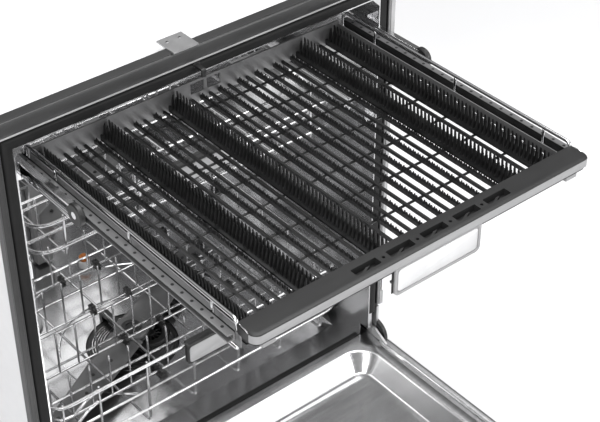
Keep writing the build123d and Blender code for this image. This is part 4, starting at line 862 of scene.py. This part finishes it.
for name, body, half, front, top_z, drop, node in (
        ("upper_grip", "upper_rack", 55, 41.8, 631, 30, "upper_handle"),
        ("lower_grip", "lower_rack", 39, 38.8, 332, 34, "lower_handle")):
    grip = Shape()

    def grip_ring(inset, y, half=half, top_z=top_z, drop=drop):
        ring = rounded_rectangle(half - inset, top_z - drop + inset, top_z - inset, 5, 0, 6, 1)
        return [(a, y, b) for a, b, _ in ring]

    grip.loft([grip_ring(1, front - 0.1), grip_ring(0.1, front - 1.2), grip_ring(0.1, front - 7),
               grip_ring(1.4, front - 8.4), grip_ring(2.6, front - 8.4), grip_ring(3, front - 7.6)])
    grip.box((-half + 4, half - 4), (front - 1, front + 5.8), (top_z - 3.8, top_z - 0.2))
    grip.build(name, BLACK, body, replaces=(node,))
    front_plate = Shape()
    front_plate.loft([grip_ring(3.1, front - 7.4), grip_ring(3.1, front - 8.6), grip_ring(3.6, front - 8.9)])
    front_plate.build(name + "_plate", LIGHT, body)

for side, body in ((-1, "left_cup_shelf"), (1, "right_cup_shelf")):
    shelf = Shape()
    inner, outer = side * 171.5, side * 233.5
    shelf.tube([(outer, 115.2, 631), (outer, 391.8, 631)], 2.0, 10)
    shelf.tube([(inner, 115.2, 631), (inner, 391.8, 631)], 2.0, 10)
    for y in spaced(121, 386, 12):
        shelf.tube([(inner, y, 631), ((inner + outer) / 2, y, 630.3), (outer, y, 631)], 1.6, 8)
    shelf.tube([((inner + outer) / 2, 118, 630.6), ((inner + outer) / 2, 389, 630.6)], 1.4, 8)
    shelf.build(body + "_grille", MID, body, replaces=(body,))

for body, y in (("lower_front_wheels", 96), ("lower_rear_wheels", 410)):
    wheel = Shape()
    for side in (-1, 1):
        start = 256.1 if side > 0 else -264.9
        wheel.disc((start, y, 208.1), (1, 0, 0), 17.4, 8.8, 40, hole=12.5, lip=1.2)
        wheel.disc((start + 1, y, 208.1), (1, 0, 0), 6.4, 6.8, 28, hole=3.06, lip=0.4)
        for step in range(6):
            a = math.radians(60 * step)
            wheel.tube([(start + 4.4, y + 5.5 * math.cos(a), 208.1 + 5.5 * math.sin(a)),
                        (start + 4.4, y + 13.5 * math.cos(a), 208.1 + 13.5 * math.sin(a))], 1.6, 6)
    wheel.build(body + "_spoked", MID, body, bevel=0.2, replaces=(body,))

# ---------------------------------------------------------------- door
liner = Shape()
FRONT_EDGE, REAR_EDGE = -545.7, 18.0


def groove_depth(ring, deep):
    """Deepens a ring along the sides only: the groove fades out before the hinge end."""
    out = []
    for x, y, z in ring:
        fade = min(1.0, max(0.0, (-8 - y) / 34))
        out.append((x, y, z - deep * fade * fade * (3 - 2 * fade)))
    return out


rings = [rounded_rectangle(295.5, FRONT_EDGE, REAR_EDGE, 2.5, 160, 8, 14),
         rounded_rectangle(295.5, FRONT_EDGE, REAR_EDGE, 2.5, 187.6, 8, 14),
         rounded_rectangle(294.6, FRONT_EDGE + 0.9, REAR_EDGE - 0.9, 2.5, 188.9, 8, 14),
         rounded_rectangle(287.5, FRONT_EDGE + 5, REAR_EDGE - 2.5, 9, 188.9, 8, 14),
         groove_depth(rounded_rectangle(285.5, FRONT_EDGE + 6.5, REAR_EDGE - 3, 10, 188.9, 8, 14), 1.6),
         groove_depth(rounded_rectangle(284.0, FRONT_EDGE + 7.6, REAR_EDGE - 3.5, 11, 188.9, 8, 14), 4.4),
         groove_depth(rounded_rectangle(280.5, FRONT_EDGE + 9.5, REAR_EDGE - 4, 13, 188.9, 8, 14), 4.6),
         groove_depth(rounded_rectangle(278.0, FRONT_EDGE + 11, REAR_EDGE - 5, 15, 188.9, 8, 14), 1.8),
         rounded_rectangle(275.5, FRONT_EDGE + 12.4, REAR_EDGE - 6, 17, 188.9, 8, 14),
         rounded_rectangle(264.5, -530.2, 0.4, 42, 188.9, 8, 14),
         rounded_rectangle(262.2, -528.2, -1.8, 40.5, 188.2, 8, 14),
         rounded_rectangle(260.4, -526.4, -3.6, 39, 186.4, 8, 14),
         rounded_rectangle(242.8, -508.8, -21.2, 21.5, 163.6, 8, 14),
         rounded_rectangle(241.0, -507.0, -23.0, 20, 161.9, 8, 14),
         rounded_rectangle(238.6, -504.6, -25.4, 18, 161.2, 8, 14),
         rounded_rectangle(236.6, -502.6, -27.4, 16.5, 162.5, 8, 14),
         rounded_rectangle(234.4, -500.4, -29.6, 15, 162.5, 8, 14),
         rounded_rectangle(232.4, -498.4, -31.6, 14, 161.2, 8, 14)]
liner.loft(rings, False, True)
liner.build("liner_pressing", LINER_STEEL, "door", smooth=50, replaces=("door_liner",))
dress(LINER_STEEL, "control_fascia")
for name in ("power_button", "programme_button", "start_button"):
    low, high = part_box(name)
    cx, half = (low.x + high.x) * 500, (high.x - low.x) * 500
    zl, zh = low.z * 1000, high.z * 1000

    def key_ring(inset, y):
        ring = rounded_rectangle(half - inset, zl + inset, zh - inset, 2, 0, 5, 1)
        return [(a + cx, y, b) for a, b, _ in ring]

    key = Shape()
    key.loft([key_ring(0, -603.2), key_ring(0, -605.4), key_ring(0.6, -606.0), key_ring(2.4, -605.7)])
    key.build(name + "_cap", BLACK, name, replaces=(name,))

dispenser_box = Shape()
dispenser_box.loft([rounded_rectangle(h, a, b, r, z, 6, 2) for h, a, b, r, z in
              ((95, -401, -289, 6, 151), (95, -401, -289, 6, 162.8), (94, -400, -290, 6, 163.9))])
dispenser_box.points = [(x + 70, y, z) for x, y, z in dispenser_box.points]
dispenser_box.build("dispenser_body", LIGHT, "door", replaces=("dispenser",))
lid = Shape()
lid.loft([rounded_rectangle(h, a, b, r, z, 6, 2) for h, a, b, r, z in
          ((33, -387, -303, 8, 164.35), (33, -387, -303, 8, 166.6), (31.8, -385.8, -304.2, 7, 167.2))])
lid.loft([rounded_rectangle(h, a, b, r, z, 6, 2) for h, a, b, r, z in
          ((3, -375, -315, 3, 167.2), (3, -375, -315, 3, 168.8), (2.4, -374.4, -315.6, 2.4, 169.2))])
count = len(lid.points) // 2
lid.points = [(x + 18, y, z) for x, y, z in lid.points[:count]] + [(x + 44, y, z) for x, y, z in lid.points[count:]]
lid.build("powder_lid", MID, "dispenser_lid", replaces=("dispenser_lid",))
cap = Shape()
cap.disc((128, -333, 159.4), (0, 0, 1), 17.8, 5.8, 36, lip=1.0)
cap.box((114, 142), (-335.8, -330.2), (165, 168.2))
for turn in range(0, 360, 20):
    a = math.radians(turn)
    cap.disc((128 + 16.8 * math.cos(a), -333 + 16.8 * math.sin(a), 160), (0, 0, 1), 0.9, 4.4, 8)
cap.build("rinse_cap", MID, "rinse_aid_cap", bevel=0.4, replaces=("rinse_aid_cap",))
